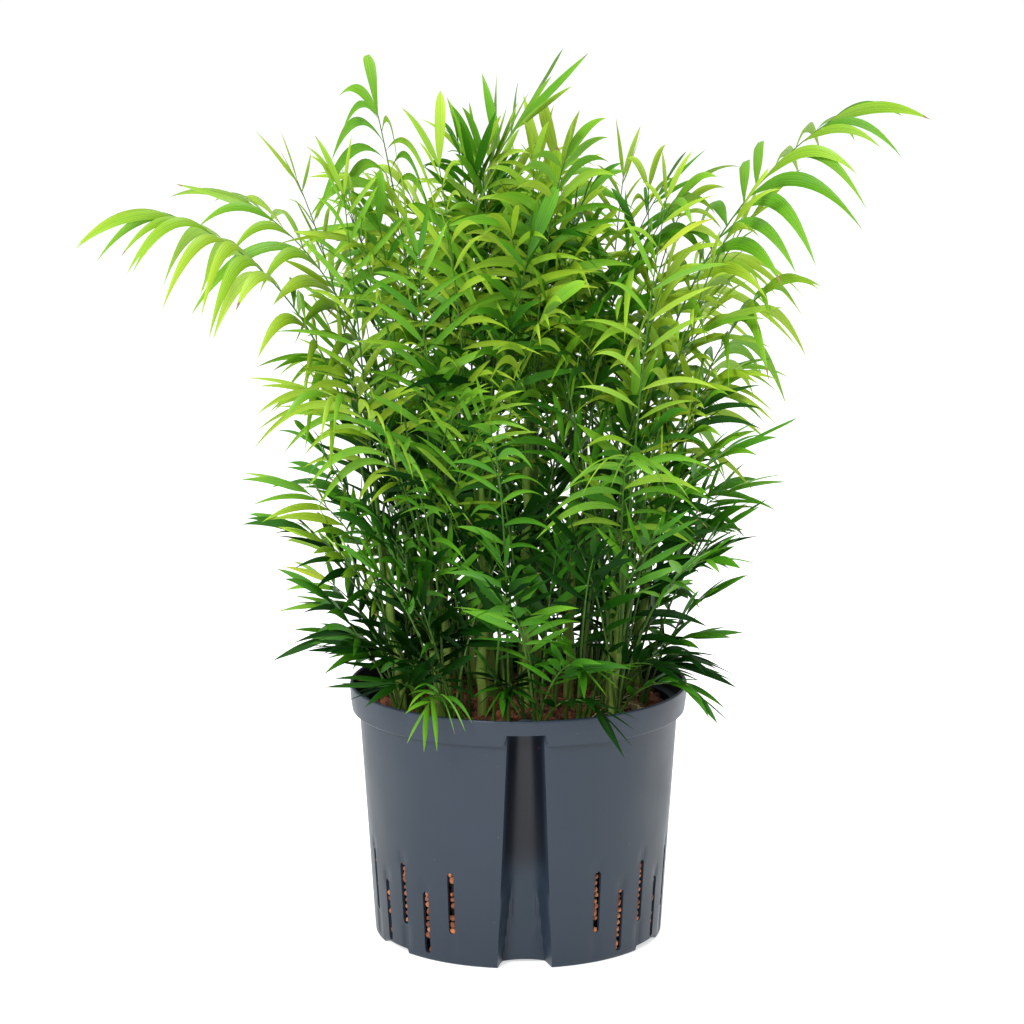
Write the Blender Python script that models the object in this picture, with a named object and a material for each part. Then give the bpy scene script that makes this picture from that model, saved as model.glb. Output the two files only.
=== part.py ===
"""Parlour palm in a slotted culture pot, as closed solids in metres, +Z up.

The origin is the middle of the pot's flat underside and the gauge channel faces -Y.
Bearings are degrees around +Z, with 0 towards +X and 90 towards +Y, and inclinations
are degrees above the horizontal. Every frond is a three-sided rib that carries pairs
of leaflets, and each leaflet grows out of a side face of the rib, so that a frond is
one thin blade cut to the rib between its leaflets.
"""
import math
import random
from collections import namedtuple

import bmesh
import bpy
import numpy as np
from mathutils import Vector
from mathutils.bvhtree import BVHTree

CLEARANCE = 0.0003

# Pot
POT_HEIGHT = 0.190
RIM_RADIUS = 0.125
BAND_FOOT_RADIUS = 0.1232
BAND_FOOT_HEIGHT = 0.1700
BODY_TOP_RADIUS = 0.1180
FOOT_RADIUS = 0.1067
WALL = 0.0024
FLOOR = 0.0030
LIP_ROUND = 0.0008
BAND_SETBACK = 0.0006
POT_SHARP_ANGLE = 40.0

# Gauge channel down the front of the pot
CHANNEL_DEPTH = 0.0160
CHANNEL_TOP_WIDTH = 0.0270
CHANNEL_FOOT_WIDTH = 0.0400
CHANNEL_CUT_INTO_BAND = 0.0088
# Half-widths across the channel and the share of its full depth at each
CHANNEL_SECTION = ((-1.0, 0.0), (-0.80, 0.80), (-0.45, 1.0), (0.0, 1.0), (0.45, 1.0), (0.80, 0.80), (1.0, 0.0))

# Slots round the lower wall, high and low in turn
SLOT_COUNT = 27
FIRST_SLOT_ANGLE = 28.9
SLOT_WIDTH = 0.0052
SLOT_LENGTH = 0.0470
HIGH_SLOT_FOOT = 0.0230
LOW_SLOT_FOOT = 0.0052
SLOT_END_STEPS = 2
SLOT_CUT_INSIDE = 0.0120
SLOT_CUT_OUTSIDE = 0.0040

# Recesses in the edge that the pot stands on
NOTCH_ANGLES = (61.0, 119.0, 241.0, 299.0)
NOTCH_HALF_ANGLE = 9.0
NOTCH_HEIGHT = 0.0030
NOTCH_DEPTH = 0.0090
NOTCH_STEP = 0.0002

# Clay granules, filled to just under the ledge inside the rim
CLAY_TOP = 0.1680

# Canes
CANE_SIDES = 5
CANE_FOOT_RADIUS = 0.0038
CANE_TOP_RADIUS = 0.0029
CANE_FLARE = 1.30
CANE_FLARE_HEIGHT = 0.0020
CANE_COLLAR_HEIGHT = 0.0100
CANE_STEPS = 3
CANE_LEAN_LOW = 0.70
CANE_SHARP_ANGLE = 70.0

# Sheath at the top of a cane, out of which its crown of fronds grows
SHEATH_SIDES = 5
SHEATH_LENGTH = 0.024
SHEATH_FOOT_RADIUS = 0.0034
SHEATH_TOP_RADIUS = 0.0024
SHEATH_DEPTH = 0.004
SHEATH_TURN = 0.1

# Ribs and leaflets
RIB_FOOT_RADIUS = 0.0016
RIB_TIP_RADIUS = 0.0008
RIB_DEPTH_SHARE = 1.2
PETIOLE_STEPS = 2
LEAF_ROOT_SHARE = 0.42
LEAF_WIDTH_SHARE = 0.19
LEAF_SHORTENING = 0.35
LONGEST_LEAF_PLACE = 0.45
TIP_LEAF_SHARE = 0.80
TIP_WIDTH_SHARE = 0.228
TIP_SAG_SHARE = 0.75
LEAF_THICKNESS_SHARE = 0.014
LEAF_MIDDLE = 0.42
FIRST_SPREAD = 64.0
LAST_SPREAD = 30.0
LEAF_LIFT = 16.0
LEAF_PAD = 0.0004
POT_PAD = 0.0010
# Size, added lift and sag of a leaflet that is tried again where the last trial touched something
LEAF_TRIES = ((1.0, 0.0, 1.0), (0.86, 9.0, 1.0), (0.86, -12.0, 1.0), (0.72, 18.0, 0.7), (0.66, -22.0, 1.2))
RIB_SPACING = 0.0044
SAMPLE_STEP = 0.0025
FREE_START = 0.018
# Degrees that a frond may be turned about its stem, in the order they are tried
TURN_TRIES = (0, 4, -4, 8, -8, 12, -12, 17, -17, 23, -23, 30, -30, 38, -38, 47, -47, 57, -57)

Stem = namedtuple("Stem", "x y top lean toward")
Frond = namedtuple("Frond", "node stem foot bearing rise fall length bend bare leaf pairs sag")
Tuft = namedtuple("Tuft", "pairs bare rise fall length bend leaf sag")

# Where each cane stands, how high it reaches, and how far and which way it leans
CANES = (
    Stem(-0.086, -0.012, 0.300, 0.016, 185),
    Stem(-0.072, 0.034, 0.325, 0.014, 160),
    Stem(-0.060, -0.040, 0.275, 0.008, 215),
    Stem(-0.052, 0.006, 0.392, 0.010, 190),
    Stem(-0.030, 0.066, 0.330, 0.010, 110),
    Stem(-0.028, -0.034, 0.335, 0.006, 260),
    Stem(-0.020, 0.026, 0.405, 0.004, 100),
    Stem(0.004, -0.016, 0.390, 0.004, 300),
    Stem(0.014, 0.060, 0.370, 0.006, 80),
    Stem(0.038, 0.014, 0.345, 0.006, 40),
    Stem(0.066, -0.018, 0.330, 0.010, 350),
    Stem(0.086, 0.018, 0.285, 0.014, 15),
    Stem(0.054, 0.062, 0.315, 0.012, 55),
    Stem(0.066, -0.056, 0.255, 0.008, 310),
)

# The long fronds that give the crown its outline, each a node of its own
LONG_FRONDS = (
    Frond("frond_far_left", CANES[0], 0.126, 180, 80, 18, 0.300, 1.95, 0.38, 0.100, 7, 0.80),
    Frond("frond_second_left", CANES[1], 0.148, 160, 80, 30, 0.250, 1.95, 0.42, 0.104, 5, 0.60),
    Frond("frond_top_left", CANES[3], 0.212, 226, 79, 73, 0.240, 1.60, 0.44, 0.096, 6, 1.00),
    Frond("frond_top_middle", CANES[3], 0.222, 30, 82, 48, 0.225, 2.20, 0.46, 0.096, 5, 0.12),
    Frond("frond_front_middle", CANES[7], 0.215, 290, 80, 56, 0.215, 2.20, 0.36, 0.086, 6, 0.46),
    Frond("frond_far_right", CANES[10], 0.160, 14, 79, 31, 0.325, 1.60, 0.36, 0.112, 7, 0.66),
    Frond("frond_high_right", CANES[9], 0.170, 338, 79, 56, 0.222, 1.90, 0.40, 0.098, 6, 0.66),
    Frond("frond_mid_right", CANES[11], 0.104, 340, 79, 48, 0.222, 2.10, 0.44, 0.098, 6, 0.85),
    Frond("frond_low_right", CANES[13], 0.070, 338, 76, 34, 0.160, 1.90, 0.40, 0.078, 5, 0.30),
    Frond("frond_back_left", CANES[4], 0.150, 118, 76, 4, 0.255, 1.80, 0.38, 0.092, 6, 0.60),
    Frond("frond_back_middle", CANES[8], 0.190, 78, 77, 12, 0.250, 1.80, 0.38, 0.092, 6, 0.60),
    Frond("frond_back_right", CANES[12], 0.135, 48, 75, -2, 0.260, 1.80, 0.38, 0.092, 6, 0.60),
    Frond("frond_front_left", CANES[2], 0.105, 222, 78, 20, 0.190, 1.80, 0.38, 0.080, 6, 0.70),
    Frond("frond_front_right", CANES[13], 0.078, 292, 78, 10, 0.190, 1.80, 0.40, 0.074, 5, 0.60),
)

# Crown of fronds on the tip of each cane, worked out by a seeded rule
CROWN_SEED = 11
CROWN_FRONDS = 3
CROWN = Tuft(4, 0.32, (75, 83), (16, 60), (0.125, 0.175), (1.6, 2.0), (0.070, 0.088), (0.35, 0.75))
SHORTEST_CROWN = 0.85
GOLDEN_TURN = 137.5
FIRST_TURN = (30, 90)
TURN_SPREAD = (-14, 14)

# Single fronds half way up the outer canes, worked out by a seeded rule
MIDDLE_SEED = 7
MIDDLE_CANES = (0, 2, 4, 11, 12, 13, 5)
MIDDLE_FOOT = (0.045, 0.085)
MIDDLE_SPREAD = (-25, 25)
MIDDLE = Tuft(5, 0.34, (72, 79), (26, 52), (0.108, 0.138), (1.5, 1.9), (0.060, 0.072), (0.30, 0.60))

# Young shoots of fronds in the granules near the rim, worked out by a seeded rule
SHOOT_SEED = 23
SHOOT_COUNT = 9
SHOOT_RING = 0.094
FIRST_SHOOT = 277.0
SHOOT_TWIST = 60.0
SHOOT_FRONDS = 3
SHOOT = Tuft(4, 0.30, (64, 80), (8, 48), (0.085, 0.130), (1.3, 1.8), (0.052, 0.066), (0.20, 0.55))
# Shoots at the front, each with a low frond that hangs over the rim before two upright ones
FRONT_SHOOTS = (0, 1, 8)
LOW_FROND = Tuft(4, 0.30, (58, 70), (-30, -6), (0.060, 0.076), (1.2, 1.5), (0.038, 0.044), (0.35, 0.60))
UPRIGHT_FROND = Tuft(5, 0.36, (79, 86), (46, 70), (0.125, 0.160), (1.5, 2.0), (0.056, 0.068), (0.20, 0.50))

Finish = namedtuple("Finish", "colour roughness")
POT_FINISH = Finish((0.075, 0.095, 0.125), 0.48)
CLAY_FINISH = Finish((0.20, 0.075, 0.035), 0.92)
CANE_FINISH = Finish((0.16, 0.25, 0.05), 0.55)
BRIGHT_LEAF = Finish((0.20, 0.42, 0.03), 0.45)
GREEN_LEAF = Finish((0.09, 0.27, 0.025), 0.45)
DEEP_LEAF = Finish((0.035, 0.14, 0.02), 0.45)
BRIGHT_HEIGHT = 0.50
GREEN_HEIGHT = 0.34


def clear_scene():
    """Remove every object that the file opened with."""
    for item in list(bpy.data.objects):
        bpy.data.objects.remove(item, do_unlink=True)


def make_material(name, finish):
    """A Principled material of one colour and roughness."""
    material = bpy.data.materials.new(name)
    material.use_nodes = True
    shader = material.node_tree.nodes["Principled BSDF"]
    shader.inputs["Base Color"].default_value = (*finish.colour, 1.0)
    shader.inputs["Roughness"].default_value = finish.roughness
    shader.inputs["Metallic"].default_value = 0.0
    return material


def add_solid(name, verts, faces, finish, origin=(0.0, 0.0, 0.0)):
    """One closed object placed at its origin, from its points and faces in the part's frame."""
    build = bmesh.new()
    points = [build.verts.new(Vector(v) - Vector(origin)) for v in verts]
    for face in faces:
        build.faces.new([points[i] for i in face])
    bmesh.ops.recalc_face_normals(build, faces=build.faces)
    mesh = bpy.data.meshes.new(name)
    build.to_mesh(mesh)
    build.free()
    solid = bpy.data.objects.new(name, mesh)
    solid.location = origin
    bpy.context.collection.objects.link(solid)
    mesh.materials.append(make_material(name + "_finish", finish))
    return solid


def shade_round(solid, angle):
    """Smooth shading that keeps the edges sharper than the angle."""
    solid.data.shade_smooth()
    solid.data.set_sharp_from_angle(angle=math.radians(angle))


def polar(radius, angle, z):
    """A point of the pot, with its angle in degrees from the channel's middle."""
    turn = math.radians(angle - 90.0)
    return Vector((radius * math.cos(turn), radius * math.sin(turn), z))


def blend(low, high, share):
    """The value part of the way from low to high."""
    return low + (high - low) * share


def ring_stations(z, grow):
    """Angles round the wall and how deep the channel is at each, from 0 to 1.

    grow widens the channel, for the inner wall that runs round it.
    """
    share = min(z / BAND_FOOT_HEIGHT, 1.0)
    width = blend(CHANNEL_FOOT_WIDTH, CHANNEL_TOP_WIDTH, share) + 2 * grow
    half = math.degrees(width / 2 / blend(FOOT_RADIUS, BODY_TOP_RADIUS, share))
    pitch = (360.0 - 2 * FIRST_SLOT_ANGLE) / (SLOT_COUNT - 1)
    first = FIRST_SLOT_ANGLE - pitch / 2
    stations = [(side * half, depth) for side, depth in CHANNEL_SECTION]
    stations.append(((half + first) / 2, 0.0))
    stations += [(first + pitch * k, 0.0) for k in range(SLOT_COUNT + 1)]
    stations.append((360.0 - (half + first) / 2, 0.0))
    return stations


def body_radius(z):
    """Outer radius of the tapered body at a height."""
    return blend(FOOT_RADIUS, BODY_TOP_RADIUS, z / BAND_FOOT_HEIGHT)


def in_notch(angle):
    """Whether the standing edge is recessed at this angle."""
    return any(abs((angle - middle + 180) % 360 - 180) < NOTCH_HALF_ANGLE for middle in NOTCH_ANGLES)


def wall_ring(radius, z, grow, channelled, notched=False, raised=0.0):
    """One ring of points round the pot at a height."""
    ring = []
    for angle, depth in ring_stations(z, grow):
        inward = CHANNEL_DEPTH * depth if channelled else 0.0
        height = z + (NOTCH_HEIGHT if notched and in_notch(angle) else 0.0)
        ring.append(polar(radius - inward, angle, height + raised * (depth > 0.5)))
    return ring


def bridge(rings):
    """Faces that join rings of equal count one after another, with flat ends."""
    count = len(rings[0])
    faces = []
    for level in range(len(rings) - 1):
        low, high = level * count, (level + 1) * count
        for k in range(count):
            after = (k + 1) % count
            faces += [(low + k, low + after, high + after), (low + k, high + after, high + k)]
    faces.append(tuple(range(count - 1, -1, -1)))
    faces.append(tuple(range(len(rings) * count - count, len(rings) * count)))
    return faces


def inner_wall_rings(margin):
    """The foot and top rings of the inner wall, or of a filling that is clear of it by a margin."""
    foot = wall_ring(body_radius(FLOOR) - WALL - margin, FLOOR + NOTCH_HEIGHT, WALL + margin, True)
    top = wall_ring(BODY_TOP_RADIUS - WALL - margin, BAND_FOOT_HEIGHT + WALL / 2, WALL + margin, True,
                    raised=CHANNEL_CUT_INTO_BAND)
    return foot, top


def build_pot():
    """The pot: tapered body with its channel, rolled band, ledge, floor, slots and notches."""
    inner_foot, inner_top = inner_wall_rings(0.0)
    rings = [
        wall_ring(FOOT_RADIUS - NOTCH_DEPTH, 0.0, WALL, True),
        wall_ring(FOOT_RADIUS - NOTCH_DEPTH + NOTCH_STEP, 0.0, WALL, True, notched=True),
        wall_ring(FOOT_RADIUS, 0.0, 0.0, True, notched=True),
        wall_ring(BODY_TOP_RADIUS, BAND_FOOT_HEIGHT, 0.0, True, raised=CHANNEL_CUT_INTO_BAND),
        wall_ring(BAND_FOOT_RADIUS, BAND_FOOT_HEIGHT + BAND_SETBACK, 0.0, False, raised=CHANNEL_CUT_INTO_BAND),
        wall_ring(RIM_RADIUS, POT_HEIGHT - 2 * LIP_ROUND, 0.0, False),
        wall_ring(RIM_RADIUS - LIP_ROUND, POT_HEIGHT, 0.0, False),
        wall_ring(RIM_RADIUS - WALL, POT_HEIGHT - LIP_ROUND, 0.0, False),
        wall_ring(BAND_FOOT_RADIUS - WALL, BAND_FOOT_HEIGHT + WALL, WALL, False, raised=CHANNEL_CUT_INTO_BAND),
        inner_top,
        inner_foot,
    ]
    verts = [point for ring in rings for point in ring]
    pot = add_solid("pot", verts, bridge(rings), POT_FINISH)
    slots = build_slot_cutter()
    cut = pot.modifiers.new("slots", "BOOLEAN")
    cut.operation = "DIFFERENCE"
    cut.solver = "EXACT"
    cut.object = slots
    shade_round(pot, POT_SHARP_ANGLE)


def build_slot_cutter():
    """The upright round-ended bars that cut the slots, in one mesh."""
    verts, faces = [], []
    pitch = (360.0 - 2 * FIRST_SLOT_ANGLE) / (SLOT_COUNT - 1)
    radius = SLOT_WIDTH / 2
    for k in range(SLOT_COUNT):
        foot = LOW_SLOT_FOOT if k % 2 else HIGH_SLOT_FOOT
        outline = []
        for middle, start in ((foot + SLOT_LENGTH - radius, 0.0), (foot + radius, math.pi)):
            for step in range(SLOT_END_STEPS + 1):
                arc = start + math.pi * step / SLOT_END_STEPS
                outline.append((radius * math.cos(arc), middle + radius * math.sin(arc)))
        turn = math.radians(FIRST_SLOT_ANGLE + pitch * k - 90.0)
        outward = Vector((math.cos(turn), math.sin(turn), 0.0))
        sideways = Vector((-math.sin(turn), math.cos(turn), 0.0))
        rings = []
        for reach in (FOOT_RADIUS - SLOT_CUT_INSIDE, BODY_TOP_RADIUS + SLOT_CUT_OUTSIDE):
            rings.append([outward * reach + sideways * u + Vector((0, 0, z)) for u, z in outline])
        offset = len(verts)
        verts += rings[0] + rings[1]
        faces += [tuple(offset + i for i in face) for face in bridge(rings)]
    cutter = add_solid("slot_cutter", verts, faces, POT_FINISH)
    cutter.hide_render = True
    cutter.display_type = "WIRE"
    return cutter


def build_clay():
    """The clay granules as one filled solid, just clear of the pot's inner wall."""
    foot, top = inner_wall_rings(2 * CLEARANCE)
    rings = []
    for z in (CLAY_TOP, FLOOR + NOTCH_HEIGHT + CLEARANCE):
        rings.append([low.lerp(high, (z - low.z) / (high.z - low.z)) for low, high in zip(foot, top)])
    verts = [point for ring in rings for point in ring]
    add_solid("clay_granules", verts, bridge(rings), CLAY_FINISH)


def stem_axis(stem, share):
    """The stem's axis at a share of its height: it leans out more towards its top."""
    reach = stem.lean * (CANE_LEAN_LOW * share + (1.0 - CANE_LEAN_LOW) * share * share)
    toward = math.radians(stem.toward)
    z = blend(CLAY_TOP, stem.top, share)
    return np.array((stem.x + reach * math.cos(toward), stem.y + reach * math.sin(toward), z))


def cane_point(cane, z):
    """The cane's axis at a height."""
    return stem_axis(cane, (z - CLAY_TOP) / (cane.top - CLAY_TOP))


def cane_radius(cane, z):
    """The cane's radius at a height, flared where it stands in the granules."""
    share = (z - CLAY_TOP) / (cane.top - CLAY_TOP)
    flare = CANE_FLARE if z < CLAY_TOP + CANE_FLARE_HEIGHT else 1.0
    return blend(CANE_FOOT_RADIUS, CANE_TOP_RADIUS, share) * flare


def cross_ring(middle, radius, sides, turn=0.0):
    """A level ring of points round an axis."""
    angles = [2 * math.pi * k / sides + turn for k in range(sides)]
    return [middle + radius * np.array((math.cos(a), math.sin(a), 0.0)) for a in angles]


def build_cane(index, cane):
    """One tapering cane from its flat cut at the granules to its tip."""
    foot = CLAY_TOP + CLEARANCE
    heights = [foot, foot + CANE_COLLAR_HEIGHT]
    heights += [blend(foot, cane.top, (k + 1) / CANE_STEPS) for k in range(CANE_STEPS)]
    rings = [cross_ring(cane_point(cane, z), cane_radius(cane, z), CANE_SIDES) for z in heights]
    verts = [point for ring in rings for point in ring]
    solid = add_solid(f"cane_{index + 1:02d}", verts, bridge(rings), CANE_FINISH, cane_point(cane, CLAY_TOP))
    shade_round(solid, CANE_SHARP_ANGLE)


def frond_axes(frond, share):
    """Direction, side and upper face of the rib at a share of its length."""
    inclination = math.radians(blend(frond.rise, frond.fall, share ** frond.bend))
    bearing = math.radians(frond.bearing)
    level = math.cos(inclination)
    along = np.array((level * math.cos(bearing), level * math.sin(bearing), math.sin(inclination)))
    side = np.array((-math.sin(bearing), math.cos(bearing), 0.0))
    return along, side, np.cross(along, side)


def cane_face(cane, z, bearing):
    """How far the cane's faceted side stands out from its axis in a direction."""
    pitch = 360.0 / CANE_SIDES
    from_corner = (bearing + pitch / 2) % pitch - pitch / 2
    return cane_radius(cane, z) * math.cos(math.radians(from_corner))


def frond_root(frond):
    """Where the petiole starts: flat against its cane, or inside the sheath on the stem's tip."""
    if frond.foot is None:
        return stem_axis(frond.stem, 1.0) + np.array((0.0, 0.0, CLEARANCE + SHEATH_DEPTH))
    bearing = math.radians(frond.bearing)
    outward = np.array((math.cos(bearing), math.sin(bearing), 0.0))
    z = CLAY_TOP + frond.foot
    return cane_point(frond.stem, z) + outward * (cane_face(frond.stem, z, frond.bearing) + CLEARANCE)


def rib_points(frond, shares):
    """Points of the rib at increasing shares of its length, summed in small steps."""
    fine = max(2, int(frond.length / SAMPLE_STEP))
    root = frond_root(frond)
    track = [root]
    for k in range(fine):
        along, _, _ = frond_axes(frond, (k + 0.5) / fine)
        track.append(track[-1] + along * frond.length / fine)
    track = np.array(track)
    places = np.linspace(0.0, 1.0, fine + 1)
    return np.stack([np.interp(shares, places, track[:, axis]) for axis in range(3)], -1)


def settle(fronds):
    """Turn each frond about its stem by the least step that keeps its rib clear of the rest."""
    placed = []
    for cane in CANES:
        heights = np.arange(CLAY_TOP, cane.top + SHEATH_LENGTH, SAMPLE_STEP)
        placed.append(("cane", cane, np.array([cane_point(cane, z) for z in heights]), CANE_FOOT_RADIUS))
    settled = []
    for frond in fronds:
        shares = np.arange(0.0, 1.0001, SAMPLE_STEP / frond.length)
        free = shares * frond.length > FREE_START
        best, widest = None, -1.0
        for turn in TURN_TRIES:
            trial = frond._replace(bearing=frond.bearing + turn)
            points = rib_points(trial, shares)
            gap = RIB_SPACING
            for kind, stem, others, thickness in placed:
                if kind == "cane" and stem == frond.stem:
                    continue
                tested = points[free] if kind == "tuft" and stem == frond.stem else points
                apart = np.linalg.norm(tested[:, None] - others[None], axis=-1).min() - thickness
                gap = min(gap, apart)
            if gap > widest:
                best, widest = trial, gap
            if widest >= RIB_SPACING:
                break
        kept = rib_points(best, shares)
        if frond.foot is None:
            placed.append(("tuft", frond.stem, kept[free], 0.0))
        else:
            placed.append(("frond", frond.stem, kept, 0.0))
        settled.append(best)
    return settled


def tuft_fronds(node, stem, tufts, chance, scale=1.0):
    """The fronds of one stem, one for each tuft named, turned on from the last by the golden angle."""
    start = stem.toward + chance.uniform(*FIRST_TURN)
    fronds = []
    for k, tuft in enumerate(tufts):
        fronds.append(Frond(
            node=node, stem=stem, foot=None, bearing=start + GOLDEN_TURN * k + chance.uniform(*TURN_SPREAD),
            rise=chance.uniform(*tuft.rise), fall=chance.uniform(*tuft.fall),
            length=scale * chance.uniform(*tuft.length), bend=chance.uniform(*tuft.bend), bare=tuft.bare,
            leaf=chance.uniform(*tuft.leaf), pairs=tuft.pairs, sag=chance.uniform(*tuft.sag)))
    return fronds


def crown_fronds():
    """The fronds on the tips of the canes, longer on the taller ones."""
    chance = random.Random(CROWN_SEED)
    tallest = max(cane.top for cane in CANES)
    fronds = []
    for index, cane in enumerate(CANES):
        scale = blend(SHORTEST_CROWN, 1.0, (cane.top - CLAY_TOP) / (tallest - CLAY_TOP))
        fronds += tuft_fronds(f"crown_{index + 1:02d}", cane, (CROWN,) * CROWN_FRONDS, chance, scale)
    return fronds


def middle_fronds():
    """A frond on the outer side of each cane named for one."""
    chance = random.Random(MIDDLE_SEED)
    fronds = []
    for k, index in enumerate(MIDDLE_CANES):
        cane = CANES[index]
        frond = tuft_fronds(f"frond_middle_{k + 1:02d}", cane, (MIDDLE,), chance)[0]
        outward = math.degrees(math.atan2(cane.y, cane.x)) + chance.uniform(*MIDDLE_SPREAD)
        fronds.append(frond._replace(foot=chance.uniform(*MIDDLE_FOOT), bearing=outward))
    return fronds


def shoot_stems():
    """Where the young shoots stand, evenly round the pot and each turned outwards."""
    stems = []
    for k in range(SHOOT_COUNT):
        bearing = FIRST_SHOOT + 360.0 * k / SHOOT_COUNT
        turn = math.radians(bearing)
        x, y = SHOOT_RING * math.cos(turn), SHOOT_RING * math.sin(turn)
        stems.append(Stem(x, y, CLAY_TOP, 0.0, bearing - SHOOT_TWIST))
    return stems


def shoot_fronds():
    """The fronds of the young shoots."""
    chance = random.Random(SHOOT_SEED)
    fronds = []
    for k, stem in enumerate(shoot_stems()):
        front = (LOW_FROND, UPRIGHT_FROND, UPRIGHT_FROND)
        tufts = front if k in FRONT_SHOOTS else (SHOOT,) * SHOOT_FRONDS
        fronds += tuft_fronds(f"shoot_{k + 1:02d}", stem, tufts, chance)
    return fronds


class Obstacles:
    """Solids that a new leaflet has to stay clear of, with their boxes for a quick first test."""

    def __init__(self):
        """Start with nothing in the way."""
        self.owners, self.trees, self.lows, self.highs = [], [], [], []

    def add(self, owner, verts, faces):
        """Keep one more closed shape under its owner's name."""
        points = np.array(verts)
        self.owners.append(owner)
        self.trees.append(BVHTree.FromPolygons([tuple(v) for v in verts], faces))
        self.lows.append(points.min(0))
        self.highs.append(points.max(0))

    def hit(self, verts, faces, skip):
        """Whether a shape touches any kept shape but those of the owner to skip."""
        points = np.array(verts)
        near = np.all((np.array(self.lows) < points.max(0)) & (np.array(self.highs) > points.min(0)), axis=1)
        tree = None
        for k in np.nonzero(near)[0]:
            if self.owners[k] == skip:
                continue
            tree = tree or BVHTree.FromPolygons([tuple(v) for v in verts], faces)
            if tree.overlap(self.trees[k]):
                return True
        return False


def halves(a, b, c, d):
    """A four-cornered face as two triangles."""
    return [(a, b, c), (a, c, d)]


def rib_stations(frond):
    """Shares of the length at which the rib has a section, and which spans carry a pair."""
    shares = [frond.bare * k / PETIOLE_STEPS for k in range(PETIOLE_STEPS + 1)]
    carries = [False] * PETIOLE_STEPS
    pitch = (1.0 - frond.bare) / frond.pairs
    for k in range(frond.pairs):
        start = frond.bare + pitch * k
        shares += [start + pitch * LEAF_ROOT_SHARE, start + pitch]
        carries += [True, False]
    return shares, carries


def rib_solid(frond):
    """Points and faces of the bare rib: left, right and lower corner at each station."""
    shares, carries = rib_stations(frond)
    centres = rib_points(frond, shares)
    verts = []
    for share, centre in zip(shares, centres):
        _, side, upper = frond_axes(frond, share)
        size = blend(RIB_FOOT_RADIUS, RIB_TIP_RADIUS, share)
        verts += [centre + side * size, centre - side * size, centre - upper * size * RIB_DEPTH_SHARE]
    faces = [(2, 1, 0)]
    last = 3 * (len(shares) - 1)
    faces.append((last, last + 1, last + 2))
    for k in range(len(carries)):
        a, b = 3 * k, 3 * (k + 1)
        faces += halves(a, b, b + 1, a + 1) + halves(a, b, b + 2, a + 2) + halves(a + 1, b + 1, b + 2, a + 2)
    return shares, carries, verts, faces


def leaf_points(frond, share, hand, tweak, pad=0.0):
    """The three middle corners and the tip of a leaflet, or the same grown by a pad."""
    along, side, upper = frond_axes(frond, share)
    place = (share - frond.bare) / (1.0 - frond.bare)
    length = frond.leaf * (1.0 - LEAF_SHORTENING * (2 * (place - LONGEST_LEAF_PLACE)) ** 2) * tweak[0]
    spread = math.radians(blend(FIRST_SPREAD, LAST_SPREAD, place))
    lift = math.radians(LEAF_LIFT + tweak[1])
    outward = side * hand * math.cos(lift) + upper * math.sin(lift)
    aim = along * math.cos(spread) + outward * math.sin(spread)
    sag = frond.sag * tweak[2] * length
    root = rib_points(frond, [share])[0]
    down = np.array((0.0, 0.0, -1.0))
    middle = root + aim * length * LEAF_MIDDLE + down * sag * LEAF_MIDDLE ** 2
    tip = root + aim * length + down * sag
    line = tip - root
    line /= np.linalg.norm(line)
    across = along - line * np.dot(along, line)
    across /= np.linalg.norm(across)
    normal = np.cross(across, line)
    if normal[2] < 0:
        normal = -normal
    half = length * LEAF_WIDTH_SHARE / 2 + pad
    keel = middle - normal * (length * LEAF_THICKNESS_SHARE + pad)
    middle = middle + normal * pad
    return [middle - across * half, middle + across * half, keel, tip + line * pad]


def leaf_faces(root, leaf):
    """Faces of a leaflet from its four root corners to its middle and tip."""
    near, far, far_low, near_low = root
    back, front, keel, tip = leaf
    return (halves(near, far, front, back) + halves(near_low, near, back, keel)
            + halves(far, far_low, keel, front)
            + [(far_low, near_low, keel), (back, front, tip), (front, keel, tip), (keel, back, tip)])


def tip_leaf_faces(root, leaf):
    """Faces of the last leaflet, which grows out of the rib's three-cornered end."""
    left, right, low = root
    back, front, keel, tip = leaf
    return (halves(left, right, front, back) + halves(right, low, keel, front) + halves(low, left, back, keel)
            + [(back, front, tip), (front, keel, tip), (keel, back, tip)])


def tip_leaf_points(frond, tweak, pad=0.0):
    """Middle corners and tip of the leaflet at the rib's end, in line with the rib."""
    along, side, upper = frond_axes(frond, 1.0)
    length = frond.leaf * TIP_LEAF_SHARE * tweak[0]
    root = rib_points(frond, [1.0])[0]
    lift = math.radians(tweak[1])
    aim = along * math.cos(lift) + upper * math.sin(lift)
    sag = frond.sag * TIP_SAG_SHARE * length
    down = np.array((0.0, 0.0, -1.0))
    middle = root + aim * length * LEAF_MIDDLE + down * sag * LEAF_MIDDLE ** 2
    half = length * TIP_WIDTH_SHARE / 2 + pad
    keel = middle - upper * (length * LEAF_THICKNESS_SHARE + pad)
    return [middle + side * half + upper * pad, middle - side * half + upper * pad, keel,
            root + aim * (length + pad) + down * sag]


def test_shape(corners, leaf):
    """A loose closed copy of a leaflet, for trying its place."""
    if len(corners) == 4:
        faces = leaf_faces((0, 1, 2, 3), (4, 5, 6, 7)) + halves(0, 3, 2, 1)
    else:
        faces = tip_leaf_faces((0, 1, 2), (3, 4, 5, 6)) + [(0, 2, 1)]
    return list(corners) + leaf, faces


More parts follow.
